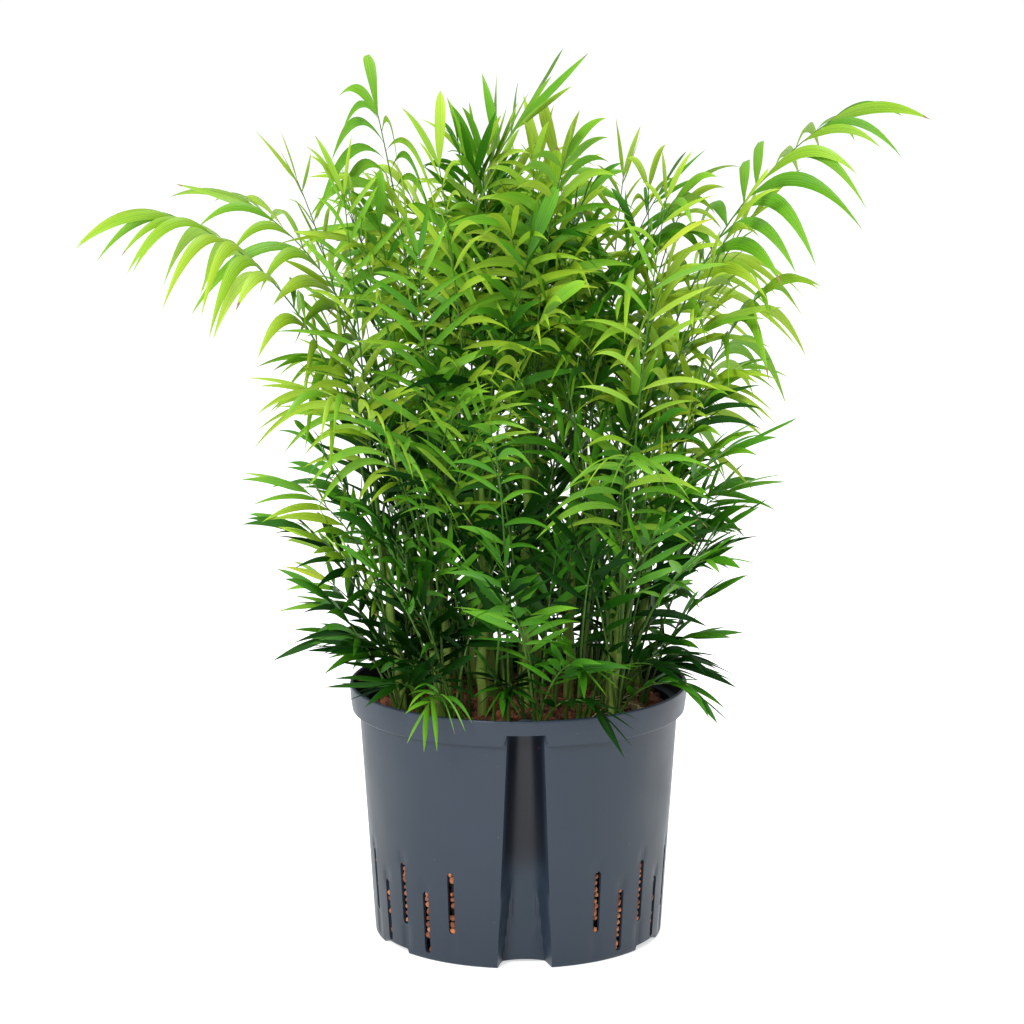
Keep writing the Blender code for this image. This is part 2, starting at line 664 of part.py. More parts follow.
def grow_frond(frond, label, obstacles):
    """Points and faces of a whole frond, without the leaflets that would touch something."""
    shares, carries, verts, _ = rib_solid(frond)
    faces = [(2, 1, 0)]
    for k, carried in enumerate(carries):
        a, b = 3 * k, 3 * (k + 1)
        faces += halves(a, b, b + 1, a + 1)
        for hand, root in ((1, (a, b, b + 2, a + 2)), (-1, (a + 1, b + 1, b + 2, a + 2))):
            leaf = None
            if carried:
                share = (shares[k] + shares[k + 1]) / 2
                leaf = place_leaf([verts[i] for i in root], label, obstacles,
                                  lambda tweak, pad: leaf_points(frond, share, hand, tweak, pad))
            if leaf is None:
                faces += halves(*root)
            else:
                first = len(verts)
                verts += leaf
                faces += leaf_faces(root, (first, first + 1, first + 2, first + 3))
    end = tuple(3 * (len(shares) - 1) + k for k in range(3))
    leaf = place_leaf([verts[i] for i in end], label, obstacles,
                      lambda tweak, pad: tip_leaf_points(frond, tweak, pad))
    if leaf is None:
        faces.append(end)
    else:
        first = len(verts)
        verts += leaf
        faces += tip_leaf_faces(end, (first, first + 1, first + 2, first + 3))
    return verts, faces


def place_leaf(corners, label, obstacles, shape):
    """The first trial of a leaflet that touches nothing, or None."""
    for tweak in LEAF_TRIES:
        leaf = shape(tweak, 0.0)
        trials = [test_shape(corners, leaf), test_shape(corners, shape(tweak, LEAF_PAD))]
        if not any(obstacles.hit(verts, faces, label) for verts, faces in trials):
            obstacles.add(label + "_leaf", *trials[0])
            return leaf
    return None


def sheath_solid(stem):
    """Points and faces of the sheath that stands on a stem's tip."""
    foot = stem_axis(stem, 1.0) + np.array((0.0, 0.0, CLEARANCE))
    top = foot + np.array((0.0, 0.0, SHEATH_LENGTH))
    rings = [cross_ring(foot, SHEATH_FOOT_RADIUS, SHEATH_SIDES, SHEATH_TURN),
             cross_ring(top, SHEATH_TOP_RADIUS, SHEATH_SIDES, SHEATH_TURN)]
    return [point for ring in rings for point in ring], bridge(rings)


def leaf_finish(frond):
    """Brighter green high in the crown and deeper green low down."""
    height = rib_points(frond, [1.0])[0][2]
    if height > BRIGHT_HEIGHT:
        return BRIGHT_LEAF
    return GREEN_LEAF if height > GREEN_HEIGHT else DEEP_LEAF


def fuse(name, solids):
    """Join the crown's sheath and fronds into one closed object."""
    group = bpy.data.collections.new(name + "_pieces")
    bpy.context.scene.collection.children.link(group)
    first, rest = solids[0], solids[1:]
    for item in rest:
        bpy.context.collection.objects.unlink(item)
        group.objects.link(item)
    join = first.modifiers.new("join", "BOOLEAN")
    join.operation = "UNION"
    join.operand_type = "COLLECTION"
    join.solver = "EXACT"
    join.collection = group
    mesh = bpy.data.meshes.new_from_object(first.evaluated_get(bpy.context.evaluated_depsgraph_get()))
    first.modifiers.clear()
    first.data = mesh
    for item in rest:
        bpy.data.objects.remove(item, do_unlink=True)
    bpy.data.collections.remove(group)
    first.name = name


def cane_obstacle(index, cane):
    """A straight padded copy of a cane, for keeping leaflets clear of it."""
    rings = [cross_ring(cane_point(cane, z), cane_radius(cane, z) + LEAF_PAD, CANE_SIDES)
             for z in (CLAY_TOP, cane.top)]
    return f"cane_{index}", [point for ring in rings for point in ring], bridge(rings)


def pot_obstacle():
    """The padded outer shape of pot and clay, for keeping leaflets clear of both."""
    profile = ((FOOT_RADIUS, 0.0), (BODY_TOP_RADIUS, BAND_FOOT_HEIGHT), (RIM_RADIUS, BAND_FOOT_HEIGHT),
               (RIM_RADIUS, POT_HEIGHT), (RIM_RADIUS - WALL, POT_HEIGHT), (BODY_TOP_RADIUS - WALL, CLAY_TOP))
    rings = [wall_ring(radius + POT_PAD, z, 0.0, False) for radius, z in profile]
    return "pot", [point for ring in rings for point in ring], bridge(rings)


def build_fronds():
    """Every frond node: the long ones alone, and the crowns and young shoots in tufts."""
    fronds = settle(list(LONG_FRONDS) + middle_fronds() + crown_fronds() + shoot_fronds())
    obstacles = Obstacles()
    obstacles.add(*pot_obstacle())
    for index, cane in enumerate(CANES):
        obstacles.add(*cane_obstacle(index, cane))
    for index, stem in enumerate(list(CANES) + shoot_stems()):
        obstacles.add(f"sheath_{index}", *sheath_solid(stem))
    for index, frond in enumerate(fronds):
        _, _, verts, faces = rib_solid(frond)
        obstacles.add(f"rib_{index}", verts, faces)
    tufts = {}
    for index, frond in enumerate(fronds):
        verts, faces = grow_frond(frond, f"rib_{index}", obstacles)
        solid = add_solid(frond.node, verts, faces, leaf_finish(frond), frond_root(frond))
        if frond.foot is None:
            tufts.setdefault((frond.node, frond.stem), []).append(solid)
    for (node, stem), members in tufts.items():
        sheath = add_solid(node + "_sheath", *sheath_solid(stem), CANE_FINISH, stem_axis(stem, 1.0))
        fuse(node, members + [sheath])


def gather_plant():
    """Hang every piece on one empty at the plant's origin."""
    pieces = list(bpy.data.objects)
    plant = bpy.data.objects.new("parlour_palm", None)
    bpy.context.collection.objects.link(plant)
    for piece in pieces:
        piece.parent = plant


def main():
    """Build the pot, the clay, the canes and the fronds."""
    clear_scene()
    build_pot()
    build_clay()
    for index, cane in enumerate(CANES):
        build_cane(index, cane)
    build_fronds()
    gather_plant()


main()
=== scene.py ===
"""Looks of a parlour palm in a slotted culture pot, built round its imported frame.

Lengths are metres and +Z is up. Bearings are degrees round +Z, with 0 towards +X and
90 towards +Y, and inclinations are degrees above the horizontal. The palm grows by the
rule of its solids, carried on to finer leaflets and to more fronds within the same reach.
"""
import logging
from dataclasses import dataclass, fields, replace
from enum import Enum
from functools import cached_property, lru_cache
from math import atan2, ceil, cos, degrees, exp, hypot, pi, radians, sin, sqrt, tau
from random import Random
from typing import Any, Callable, Iterable, Mapping, Optional, Sequence, Union

import bmesh
import bpy
import numpy as np
from bpy.types import Material, Mesh, Node, NodeSocket, NodeTree, Object
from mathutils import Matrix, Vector


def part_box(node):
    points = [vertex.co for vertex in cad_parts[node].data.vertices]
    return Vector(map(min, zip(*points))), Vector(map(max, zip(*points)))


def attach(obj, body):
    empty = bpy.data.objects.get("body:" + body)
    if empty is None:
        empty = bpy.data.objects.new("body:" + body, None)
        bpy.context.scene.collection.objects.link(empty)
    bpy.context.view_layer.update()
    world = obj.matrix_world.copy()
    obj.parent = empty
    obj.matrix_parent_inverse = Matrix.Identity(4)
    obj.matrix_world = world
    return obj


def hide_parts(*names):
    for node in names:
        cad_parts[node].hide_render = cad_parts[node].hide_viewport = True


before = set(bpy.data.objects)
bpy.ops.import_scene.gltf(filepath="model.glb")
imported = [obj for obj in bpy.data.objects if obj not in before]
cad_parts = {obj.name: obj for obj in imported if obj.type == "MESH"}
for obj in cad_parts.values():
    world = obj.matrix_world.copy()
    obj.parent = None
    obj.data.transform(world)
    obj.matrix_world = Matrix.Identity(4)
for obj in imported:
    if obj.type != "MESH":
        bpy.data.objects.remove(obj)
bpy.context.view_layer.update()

BODY = "root"
CLEARANCE = 0.0003
UP = np.array((0.0, 0.0, 1.0))
GOLDEN_TURN = 137.5
NEVER_DRY = 2.0

log = logging.getLogger("parlour_palm")

Key = Union[str, int]
Colour = tuple[float, float, float]
Point = Sequence[float]
Span = tuple[float, float]
Track = tuple[np.ndarray, np.ndarray]


def blend(low: float, high: float, share: float) -> float:
    """Return the value part of the way from low to high."""
    return low + (high - low) * share


def smooth_step(low: float, high: float, value: float) -> float:
    """Return 0 below low, 1 above high, and a smooth rise between them."""
    share = min(max((value - low) / (high - low), 0.0), 1.0)
    return share * share * (3.0 - 2.0 * share)


def unit(vector: np.ndarray) -> np.ndarray:
    """Return the vector at a length of one."""
    return vector / np.linalg.norm(vector)


def compass(bearing: float, reach: float = 1.0) -> np.ndarray:
    """Return the level vector along a bearing, as long as its reach."""
    turn = radians(bearing)
    return np.array((reach * cos(turn), reach * sin(turn), 0.0))


class Net:
    """A node tree under construction, for shaders and for geometry alike."""

    def __init__(self, tree: NodeTree) -> None:
        """Keep the tree that the nodes go into."""
        self.tree = tree

    @staticmethod
    def pick(sockets: Iterable[NodeSocket], key: Key) -> NodeSocket:
        """Return the socket with that name, or that place, among those in use."""
        shown = [socket for socket in sockets if socket.enabled]
        return shown[key] if isinstance(key, int) else next(s for s in shown if s.name == key)

    def fill(self, node: Node, values: Mapping[Key, Any]) -> None:
        """Set or link a node's inputs.

        Args:
            node: the node.
            values: for each input, a number, a vector, a colour or the output socket that feeds it.
        """
        for key, value in values.items():
            socket = self.pick(node.inputs, key)
            if isinstance(value, NodeSocket):
                self.tree.links.new(value, socket)
            else:
                socket.default_value = (*value, 1.0) if socket.type == "RGBA" else value

    def add(self, kind: str, values: Optional[Mapping[Key, Any]] = None, **settings: Any) -> Node:
        """Add a node.

        Args:
            kind: Blender's name for the type of node.
            values: its inputs, as fill takes them.
            settings: the node's own options.

        Returns:
            The new node.
        """
        node = self.tree.nodes.new(kind)
        for name, value in settings.items():
            setattr(node, name, value)
        self.fill(node, values or {})
        return node

    def get(self, kind: str, values: Optional[Mapping[Key, Any]] = None, out: Key = 0,
            **settings: Any) -> NodeSocket:
        """Add a node as add does, and return the output named or numbered by out."""
        return self.pick(self.add(kind, values, **settings).outputs, out)

    def math(self, operation: str, *values: Any) -> NodeSocket:
        """Return the result of a Math node on plain values or sockets."""
        return self.get("ShaderNodeMath", dict(enumerate(values)), operation=operation)

    def vector(self, operation: str, *values: Any) -> NodeSocket:
        """Return the result of a Vector Math node on plain vectors or sockets."""
        return self.get("ShaderNodeVectorMath", dict(enumerate(values)), operation=operation)

    def scaled(self, vector: Any, factor: Any) -> NodeSocket:
        """Return a vector socket times a number."""
        return self.get("ShaderNodeVectorMath", {0: vector, "Scale": factor}, operation="SCALE")

    def stored(self, name: str, kind: str = "FLOAT") -> NodeSocket:
        """Return the attribute of that name on the geometry."""
        return self.get("GeometryNodeInputNamedAttribute", {"Name": name}, "Attribute", data_type=kind)

    def ranged(self, value: Any, start: Span, end: Span = (0.0, 1.0)) -> NodeSocket:
        """Return a value moved from one range into another and held there."""
        return self.get("ShaderNodeMapRange", {"Value": value, "From Min": start[0], "From Max": start[1],
                                               "To Min": end[0], "To Max": end[1]})

    def tinted(self, factor: Any, first: Any, second: Any, blend_type: str = "MIX") -> NodeSocket:
        """Return the first colour with as much of the second in it as the factor says."""
        return self.get("ShaderNodeMix", {"Factor": factor, "A": first, "B": second}, "Result",
                        data_type="RGBA", blend_type=blend_type)

    def noise(self, place: Any, scale: Any, detail: float, roughness: float = 0.5,
              out: Key = 0) -> NodeSocket:
        """Return noise at a place, as a value or as the output that out names."""
        return self.get("ShaderNodeTexNoise", {"Vector": place, "Scale": scale, "Detail": detail,
                                               "Roughness": roughness}, out)

    def bump(self, height: NodeSocket, relief: Span) -> NodeSocket:
        """Return the normal over a height, for a relief's strength and distance."""
        return self.get("ShaderNodeBump", {"Strength": relief[0], "Distance": relief[1], "Height": height})


def new_tree(name: str, inputs: Mapping[str, Any],
             outputs: Optional[Mapping[str, str]] = None) -> tuple[Net, Mapping[str, NodeSocket]]:
    """Make a node group with named sockets.

    Args:
        name: the group's name.
        inputs: each input's name, with its default number, or else its type of socket.
        outputs: for a shader group, each output's name, with its type of socket. Without them the
            group is geometry nodes, and has Geometry for its first input and its output.

    Returns:
        The group, ready for its nodes, and the sockets that bring its inputs.
    """
    tree = bpy.data.node_groups.new(name, ("Shader" if outputs else "Geometry") + "NodeTree")
    first = {} if outputs else {"Geometry": "Geometry"}
    numbers = {int: "Int", float: "Float"}
    for label, given in (first | dict(inputs)).items():
        socket_type = "NodeSocket" + numbers.get(type(given), given)
        socket = tree.interface.new_socket(label, in_out="INPUT", socket_type=socket_type)
        if type(given) in numbers:
            socket.default_value = given
    for label, given in (outputs or first).items():
        tree.interface.new_socket(label, in_out="OUTPUT", socket_type="NodeSocket" + given)
    return Net(tree), tree.nodes.new("NodeGroupInput").outputs


def linked(name: str, data: Any) -> Object:
    """Put a mesh, light or camera into the scene.

    Args:
        name: the object's name.
        data: the mesh, light or camera.

    Returns:
        The object, at the origin.
    """
    thing = bpy.data.objects.new(name, data)
    bpy.context.collection.objects.link(thing)
    return thing


def store(mesh: Mesh, label: str, column: Sequence[Any]) -> None:
    """Keep a value for each point of a mesh.

    Args:
        mesh: the mesh.
        label: the attribute's name.
        column: a whole number, a number or a vector for each point.
    """
    values = np.array(column)
    kind = "INT" if values.dtype.kind == "i" else "FLOAT_VECTOR" if values.ndim > 1 else "FLOAT"
    flat = values.astype(np.int32 if kind == "INT" else np.float32).ravel()
    field = "vector" if values.ndim > 1 else "value"
    mesh.attributes.new(label, kind, "POINT").data.foreach_set(field, flat)


def seed_mesh(name: str, points: Iterable[Point], values: Mapping[str, Sequence[Any]],
              edges: Sequence[tuple[int, int]] = ()) -> Mesh:
    """Make the points that geometry nodes grow a piece on.

    Args:
        name: the piece's name.
        points: where they are.
        values: each attribute's values, as store takes them.
        edges: the pairs of points that a line joins.

    Returns:
        The mesh.
    """
    mesh = bpy.data.meshes.new(name + "_seed")
    mesh.from_pydata([tuple(point) for point in points], edges, [])
    for label, column in values.items():
        store(mesh, label, column)
    return mesh


def settle(piece: Object) -> None:
    """Give a piece the mesh that its modifiers make of it, in place of its own and of them.

    Args:
        piece: the piece.
    """
    depsgraph = bpy.context.evaluated_depsgraph_get()
    made = bpy.data.meshes.new_from_object(
        piece.evaluated_get(depsgraph), preserve_all_data_layers=True, depsgraph=depsgraph)
    piece.modifiers.clear()
    before, piece.data = piece.data, made
    bpy.data.meshes.remove(before)
    made.name = piece.name


def grow_piece(name: str, seed: Mesh, tree: NodeTree, inputs: Mapping[str, Any],
               keep: Sequence[str] = ()) -> Object:
    """Run geometry nodes over a seed mesh and keep the result as a plain mesh.

    Args:
        name: the piece's name.
        seed: points or lines with the attributes that the tree reads.
        tree: the geometry node group.
        inputs: values for the group's named inputs.
        keep: the attributes that the piece's finish reads. Its other working ones are removed.

    Returns:
        The piece, with no modifier left on it.
    """
    piece = linked(name, seed)
    modifier = piece.modifiers.new("grow", "NODES")
    modifier.node_group = tree
    for item in tree.interface.items_tree:
        if item.in_out == "INPUT" and item.name in inputs:
            modifier[item.identifier] = inputs[item.name]
    settle(piece)
    attributes = piece.data.attributes
    kept = {"position", "material_index", "sharp_face", "sharp_edge", *keep}
    for label in [a.name for a in attributes if not a.is_internal and a.name not in kept]:
        if not label.startswith("."):
            attributes.remove(attributes[label])
    return piece


def mesh_piece(name: str, verts: Iterable[Point], faces: Iterable[Sequence[int]],
               material: Material) -> Object:
    """Make a closed piece with its faces pointing out.

    Args:
        name: the piece's name.
        verts: its points.
        faces: the numbers of the points round each face.
        material: its finish.

    Returns:
        The piece, at the origin.
    """
    build = bmesh.new()
    points = [build.verts.new(v) for v in verts]
    for face in faces:
        build.faces.new([points[i] for i in face])
    bmesh.ops.recalc_face_normals(build, faces=build.faces)
    mesh = bpy.data.meshes.new(name)
    build.to_mesh(mesh)
    build.free()
    mesh.materials.append(material)
    return linked(name, mesh)


def loft(rings: Sequence[Sequence[Point]], first: int = 0) -> tuple[list[Point], list[Sequence[int]]]:
    """Skin a stack of rings and close its two ends.

    Args:
        rings: the rings, all with as many points.
        first: the number of their first point.

    Returns:
        The points, and the numbers of the points round each face, the two ends before the skin.
    """
    count = len(rings[0])
    verts = [point for ring in rings for point in ring]
    last = first + len(verts) - count
    faces: list[Sequence[int]] = [range(first + count - 1, first - 1, -1), range(last, last + count)]
    for low in range(first, last, count):
        for k in range(count):
            after = (k + 1) % count
            faces.append((low + k, low + after, low + count + after, low + count + k))
    return verts, faces


def place_piece(piece: Object, nodes: Sequence[str] = ()) -> None:
    """Hang a finished piece on the frame and report it.

    Args:
        piece: the finished piece.
        nodes: the solids that it stands for.
    """
    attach(piece, BODY)
    if nodes:
        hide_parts(*nodes)
    triangles = sum(len(face.vertices) - 2 for face in piece.data.polygons)
    log.info("%s: %d triangles, stands for %d solids", piece.name, triangles, len(nodes))


# Shared effects


def grain_group() -> NodeTree:
    """Build the fine moulded grain and mottle that plastic and clay share.

    Returns:
        A group that puts out a mottle from 0 to 1 and a height.
    """
    net, given = new_tree("moulded_grain", {"Grain size": 900.0, "Mottle size": 22.0},
                          {"Mottle": "Float", "Height": "Float"})
    place = net.get("ShaderNodeTexCoord", out="Object")
    net.add("NodeGroupOutput", {"Mottle": net.noise(place, given["Mottle size"], 4.0, 0.55),
                                "Height": net.noise(place, given["Grain size"], 2.0, 0.6)})
    return net.tree


def fibre_group() -> NodeTree:
    """Build the upright streaks of a green stem.

    Returns:
        A group that puts out a streak from 0 to 1 and a height.
    """
    net, given = new_tree("stem_fibre", {"Across": 900.0, "Along": 14.0},
                          {"Streak": "Float", "Height": "Float"})
    stretch = net.get("ShaderNodeCombineXYZ", {"X": given["Across"], "Y": given["Across"],
                                               "Z": given["Along"]})
    place = net.vector("MULTIPLY", net.get("ShaderNodeTexCoord", out="Object"), stretch)
    streak = net.noise(place, 1.0, 3.0, 0.6)
    net.add("NodeGroupOutput", {"Streak": streak, "Height": streak})
    return net.tree


def vein_group() -> NodeTree:
    """Build the leaflet's colour and relief from its own map, along X and across Y.

    Returns:
        A group that puts out the leaf's colour and the height of its veins.
    """
    midrib_edge, most_midrib, midrib_groove = (0.012, 0.045), 0.55, -1.2
    streak_stretch, streak_strength = (1.6, 22.0, 1.0), 1.6
    tip_range, foot_light, tip_gain = (0.55, 1.0), 0.80, 0.40
    net, given = new_tree("leaf_veins", {"Blade": "Color", "Tip": "Color", "Midrib": "Color",
                                         "Vein count": 6.0, "Vein contrast": 0.28},
                          {"Colour": "Color", "Height": "Float"})
    place = net.get("ShaderNodeUVMap", uv_map="UVMap")
    own_map = net.add("ShaderNodeSeparateXYZ", {0: place})
    along, across = own_map.outputs["X"], own_map.outputs["Y"]
    turns = net.math("MULTIPLY", across, net.math("MULTIPLY", given["Vein count"], tau))
    vein = net.math("MULTIPLY_ADD", net.math("SINE", turns), 0.5, 0.5)
    streak = net.noise(net.vector("MULTIPLY", place, streak_stretch), 1.0, 3.0)
    from_middle = net.math("ABSOLUTE", net.math("SUBTRACT", across, 0.5))
    midrib = net.math("SUBTRACT", 1.0, net.ranged(from_middle, midrib_edge))
    blade = net.tinted(net.ranged(along, tip_range), given["Blade"], given["Tip"])
    light = net.math("MULTIPLY_ADD", net.math("MULTIPLY_ADD", streak, streak_strength, vein),
                     given["Vein contrast"], net.math("SUBTRACT", 1.0, given["Vein contrast"]))
    # Painted shade towards the blade's foot and painted light towards its tip.
    light = net.math("MULTIPLY", light, net.math("MULTIPLY_ADD", along, tip_gain, foot_light))
    shaded = net.tinted(1.0, blade, light, "MULTIPLY")
    ribbed = net.tinted(net.math("MULTIPLY", midrib, most_midrib), shaded, given["Midrib"])
    net.add("NodeGroupOutput", {"Colour": ribbed,
                                "Height": net.math("MULTIPLY_ADD", midrib, midrib_groove, vein)})
    return net.tree


GRAIN = grain_group()
FIBRE = fibre_group()
VEINS = vein_group()


def shader_net(name: str) -> tuple[Material, Net, Node]:
    """Start a material.

    Args:
        name: the material's name.

    Returns:
        The material, its net and its Principled shader.
    """
    material = bpy.data.materials.new(name)
    material.use_nodes = True
    return material, Net(material.node_tree), material.node_tree.nodes["Principled BSDF"]


@dataclass(frozen=True)
class LeafFinish:
    """A satin leaf blade with faint parallel veins, in one plain tone."""

    name: str
    blade: Colour
    tip: Colour
    midrib: Colour
    roughness: float = 0.44
    specular: float = 0.26
    relief: Span = (0.5, 0.00012)

    def mixed(self, other: "LeafFinish", share: float, name: str) -> "LeafFinish":
        """Return a finish part of the way to another.

        Args:
            other: the finish at a share of one.
            share: how far to go.
            name: the new finish's name.

        Returns:
            The new finish.
        """
        pairs = ((self.blade, other.blade), (self.tip, other.tip), (self.midrib, other.midrib))
        colours = [tuple(blend(a, b, share) for a, b in zip(mine, theirs)) for mine, theirs in pairs]
        return LeafFinish(name, *colours, blend(self.roughness, other.roughness, share),
                          blend(self.specular, other.specular, share))

    def build(self) -> Material:
        """Return the material."""
        material, net, shader = shader_net(self.name)
        veins = net.add("ShaderNodeGroup", {"Blade": self.blade, "Tip": self.tip, "Midrib": self.midrib},
                        node_tree=VEINS)
        net.fill(shader, {
            "Base Color": veins.outputs["Colour"], "Roughness": self.roughness,
            "Specular IOR Level": self.specular, "Normal": net.bump(veins.outputs["Height"], self.relief)})
        return material


@dataclass(frozen=True)
class StemFinish:
    """Smooth green stem with paler upright streaks, changing colour from its foot upwards."""

    name: str
    upper: Colour
    lower: Colour
    streak: Colour
    heights: Span
    roughness: float = 0.48
    specular: float = 0.20
    streak_size: Span = (700.0, 16.0)
    streak_range: Span = (0.46, 0.78)
    most_streak: float = 0.75
    relief: Span = (0.35, 0.0003)

    def build(self) -> Material:
        """Return the material."""
        material, net, shader = shader_net(self.name)
        across, along = self.streak_size
        fibre = net.add("ShaderNodeGroup", {"Across": across, "Along": along}, node_tree=FIBRE)
        place = net.add("ShaderNodeSeparateXYZ", {0: net.get("ShaderNodeTexCoord", out="Object")})
        base = net.tinted(net.ranged(place.outputs["Z"], self.heights), self.lower, self.upper)
        strength = net.ranged(fibre.outputs["Streak"], self.streak_range, (0.0, self.most_streak))
        net.fill(shader, {
            "Base Color": net.tinted(strength, base, self.streak), "Roughness": self.roughness,
            "Specular IOR Level": self.specular, "Normal": net.bump(fibre.outputs["Height"], self.relief)})
        return material


@dataclass(frozen=True)
class PlasticFinish:
    """Slate moulded plastic with a fine grain, a faint mottle and specks of dust, darkened to its hollow
    colour as painted shade where the hollow attribute says.
    """

    name: str
    plain: Colour
    worn: Colour
    dust: Colour
    hollow: Colour
    roughness: Span = (0.38, 0.52)
    specular: float = 0.40
    film: float = 0.34
    film_roughness: float = 0.20
    film_tint: Colour = (0.78, 0.90, 1.0)
    grain_size: float = 1500.0
    mottle_size: float = 16.0
    worn_range: Span = (0.30, 0.72)
    dull_range: Span = (0.30, 0.70)
    speck_pitch: float = 85.0
    speck_edge: Span = (0.045, 0.025)
    most_dust: float = 0.30
    relief: Span = (0.35, 0.00006)

    def build(self) -> Material:
        """Return the material."""
        material, net, shader = shader_net(self.name)
        grain = net.add("ShaderNodeGroup", {"Grain size": self.grain_size, "Mottle size": self.mottle_size},
                        node_tree=GRAIN)
        mottle = grain.outputs["Mottle"]
        base = net.tinted(net.ranged(mottle, self.worn_range), self.plain, self.worn)
        specks = net.get("ShaderNodeTexVoronoi", {"Vector": net.get("ShaderNodeTexCoord", out="Object"),
                                                  "Scale": self.speck_pitch}, "Distance")
        dusty = net.tinted(net.ranged(specks, self.speck_edge, (0.0, self.most_dust)), base, self.dust)
        # Painted shade: the hollow attribute darkens the plastic towards its hollow colour in the channel's
        # upper hollow.
        inside = net.get("ShaderNodeAttribute", attribute_name="hollow", out="Fac")
        net.fill(shader, {
            "Base Color": net.tinted(inside, dusty, self.hollow), "Specular IOR Level": self.specular,
            "Roughness": net.ranged(mottle, self.dull_range, self.roughness), "Sheen Weight": self.film,
            "Sheen Roughness": self.film_roughness, "Sheen Tint": self.film_tint,
            "Normal": net.bump(grain.outputs["Height"], self.relief)})
        return material


@dataclass(frozen=True)
class ClayFinish:
    """Matt fired clay, each granule a little lighter or darker than the next."""

    name: str
    dark: Colour
    light: Colour
    roughness: float = 0.92
    grain_size: float = 1300.0
    mottle_size: float = 190.0
    mottle: float = 1.3
    relief: Span = (0.9, 0.0006)

    def build(self) -> Material:
        """Return the material."""
        material, net, shader = shader_net(self.name)
        grain = net.add("ShaderNodeGroup", {"Grain size": self.grain_size, "Mottle size": self.mottle_size},
                        node_tree=GRAIN)
        shade = net.get("ShaderNodeAttribute", attribute_name="shade", out="Fac")
        share = net.math("SUBTRACT", grain.outputs["Mottle"], 0.5)
        share = net.math("MULTIPLY_ADD", share, self.mottle, shade)
        net.fill(shader, {
            "Base Color": net.tinted(share, self.dark, self.light), "Roughness": self.roughness,
            "Normal": net.bump(grain.outputs["Height"], self.relief)})
        return material


@lru_cache(maxsize=None)
def material_of(finish: Union[LeafFinish, StemFinish, PlasticFinish, ClayFinish]) -> Material:
    """Return a finish's material, built once."""
    return finish.build()


class LeafTone(Enum):
    """The plain tones of the leaves: greens from painted light at the top to painted shade in the middle, and
    the tones of ageing leaves.
    """

    LIME = LeafFinish("leaf_lime", (0.240, 0.395, 0.018), (0.30, 0.45, 0.03), (0.20, 0.36, 0.03))
    FRESH = LeafFinish("leaf_fresh", (0.108, 0.300, 0.010), (0.16, 0.35, 0.013), (0.10, 0.27, 0.016))
    GREEN = LeafFinish("leaf_green", (0.048, 0.200, 0.005), (0.070, 0.240, 0.007), (0.045, 0.19, 0.011),
                       0.38, 0.22)
    DEEP = LeafFinish("leaf_deep", (0.0170, 0.098, 0.0030), (0.027, 0.125, 0.005), (0.022, 0.105, 0.007),
                      0.40, 0.14)
    SHADE = LeafFinish("leaf_shade", (0.0030, 0.027, 0.0010), (0.005, 0.038, 0.002), (0.006, 0.038, 0.003),
                       0.42, 0.07)
    YELLOWED = LeafFinish("leaf_yellowed", (0.38, 0.49, 0.022), (0.42, 0.42, 0.03), (0.32, 0.44, 0.035))
    DRY = LeafFinish("leaf_dry", (0.34, 0.25, 0.12), (0.22, 0.14, 0.07), (0.34, 0.27, 0.15), 0.78, 0.12)


GREENS = (LeafTone.LIME, LeafTone.FRESH, LeafTone.GREEN, LeafTone.DEEP, LeafTone.SHADE)
GREEN_STEPS = 10


def leaf_finishes() -> list[LeafFinish]:
    """Return the finishes that leaflets are dealt: greens from painted light to painted shade, then yellowed
    and dry.
    """
    finishes = []
    for step in range(GREEN_STEPS):
        place = step / (GREEN_STEPS - 1) * (len(GREENS) - 1)
        low = min(int(place), len(GREENS) - 2)
        near, far = GREENS[low].value, GREENS[low + 1].value
        finishes.append(near.mixed(far, place - low, f"leaf_green_{step + 1}"))
    return finishes + [LeafTone.YELLOWED.value, LeafTone.DRY.value]


CANE_GREEN = StemFinish("cane_green", (0.140, 0.275, 0.028), (0.150, 0.225, 0.040), (0.29, 0.40, 0.10),
                        (0.168, 0.30))
RIB_GREEN = StemFinish("rib_green", (0.040, 0.130, 0.012), (0.048, 0.105, 0.013), (0.10, 0.21, 0.032),
                       (0.20, 0.42))
DRY_STEM = StemFinish("stem_dry", (0.48, 0.44, 0.28), (0.40, 0.33, 0.20), (0.60, 0.56, 0.40), (0.168, 0.20))
# The fourth colour of each plastic is the painted shade of the channel's upper hollow.
POT_PLASTIC = PlasticFinish("pot_plastic", (0.0132, 0.0240, 0.040), (0.0175, 0.0300, 0.0480),
                            (0.20, 0.22, 0.25), (0.002, 0.004, 0.009))
# The same plastic made darker for the wall's inner face, as painted shade.
POT_INSIDE_PAINTED_SHADE = PlasticFinish("pot_inside_painted_shade", (0.006, 0.007, 0.009), (0.010, 0.011, 0.013), (0.05, 0.05, 0.05),
                           (0.006, 0.007, 0.009), (0.50, 0.65), 0.30, 0.0)
# A dark clay for the bed: painted shade in the gaps between the loose granules.
CLAY_BED_PAINTED_SHADE = ClayFinish("clay_bed", (0.030, 0.012, 0.008), (0.075, 0.030, 0.016))
CLAY_LOOSE = ClayFinish("clay_loose", (0.036, 0.012, 0.006), (0.290, 0.095, 0.040))
CLAY_PELLET = ClayFinish("clay_pellet", (0.120, 0.032, 0.014), (0.520, 0.190, 0.085))


# The palm's rule of growth


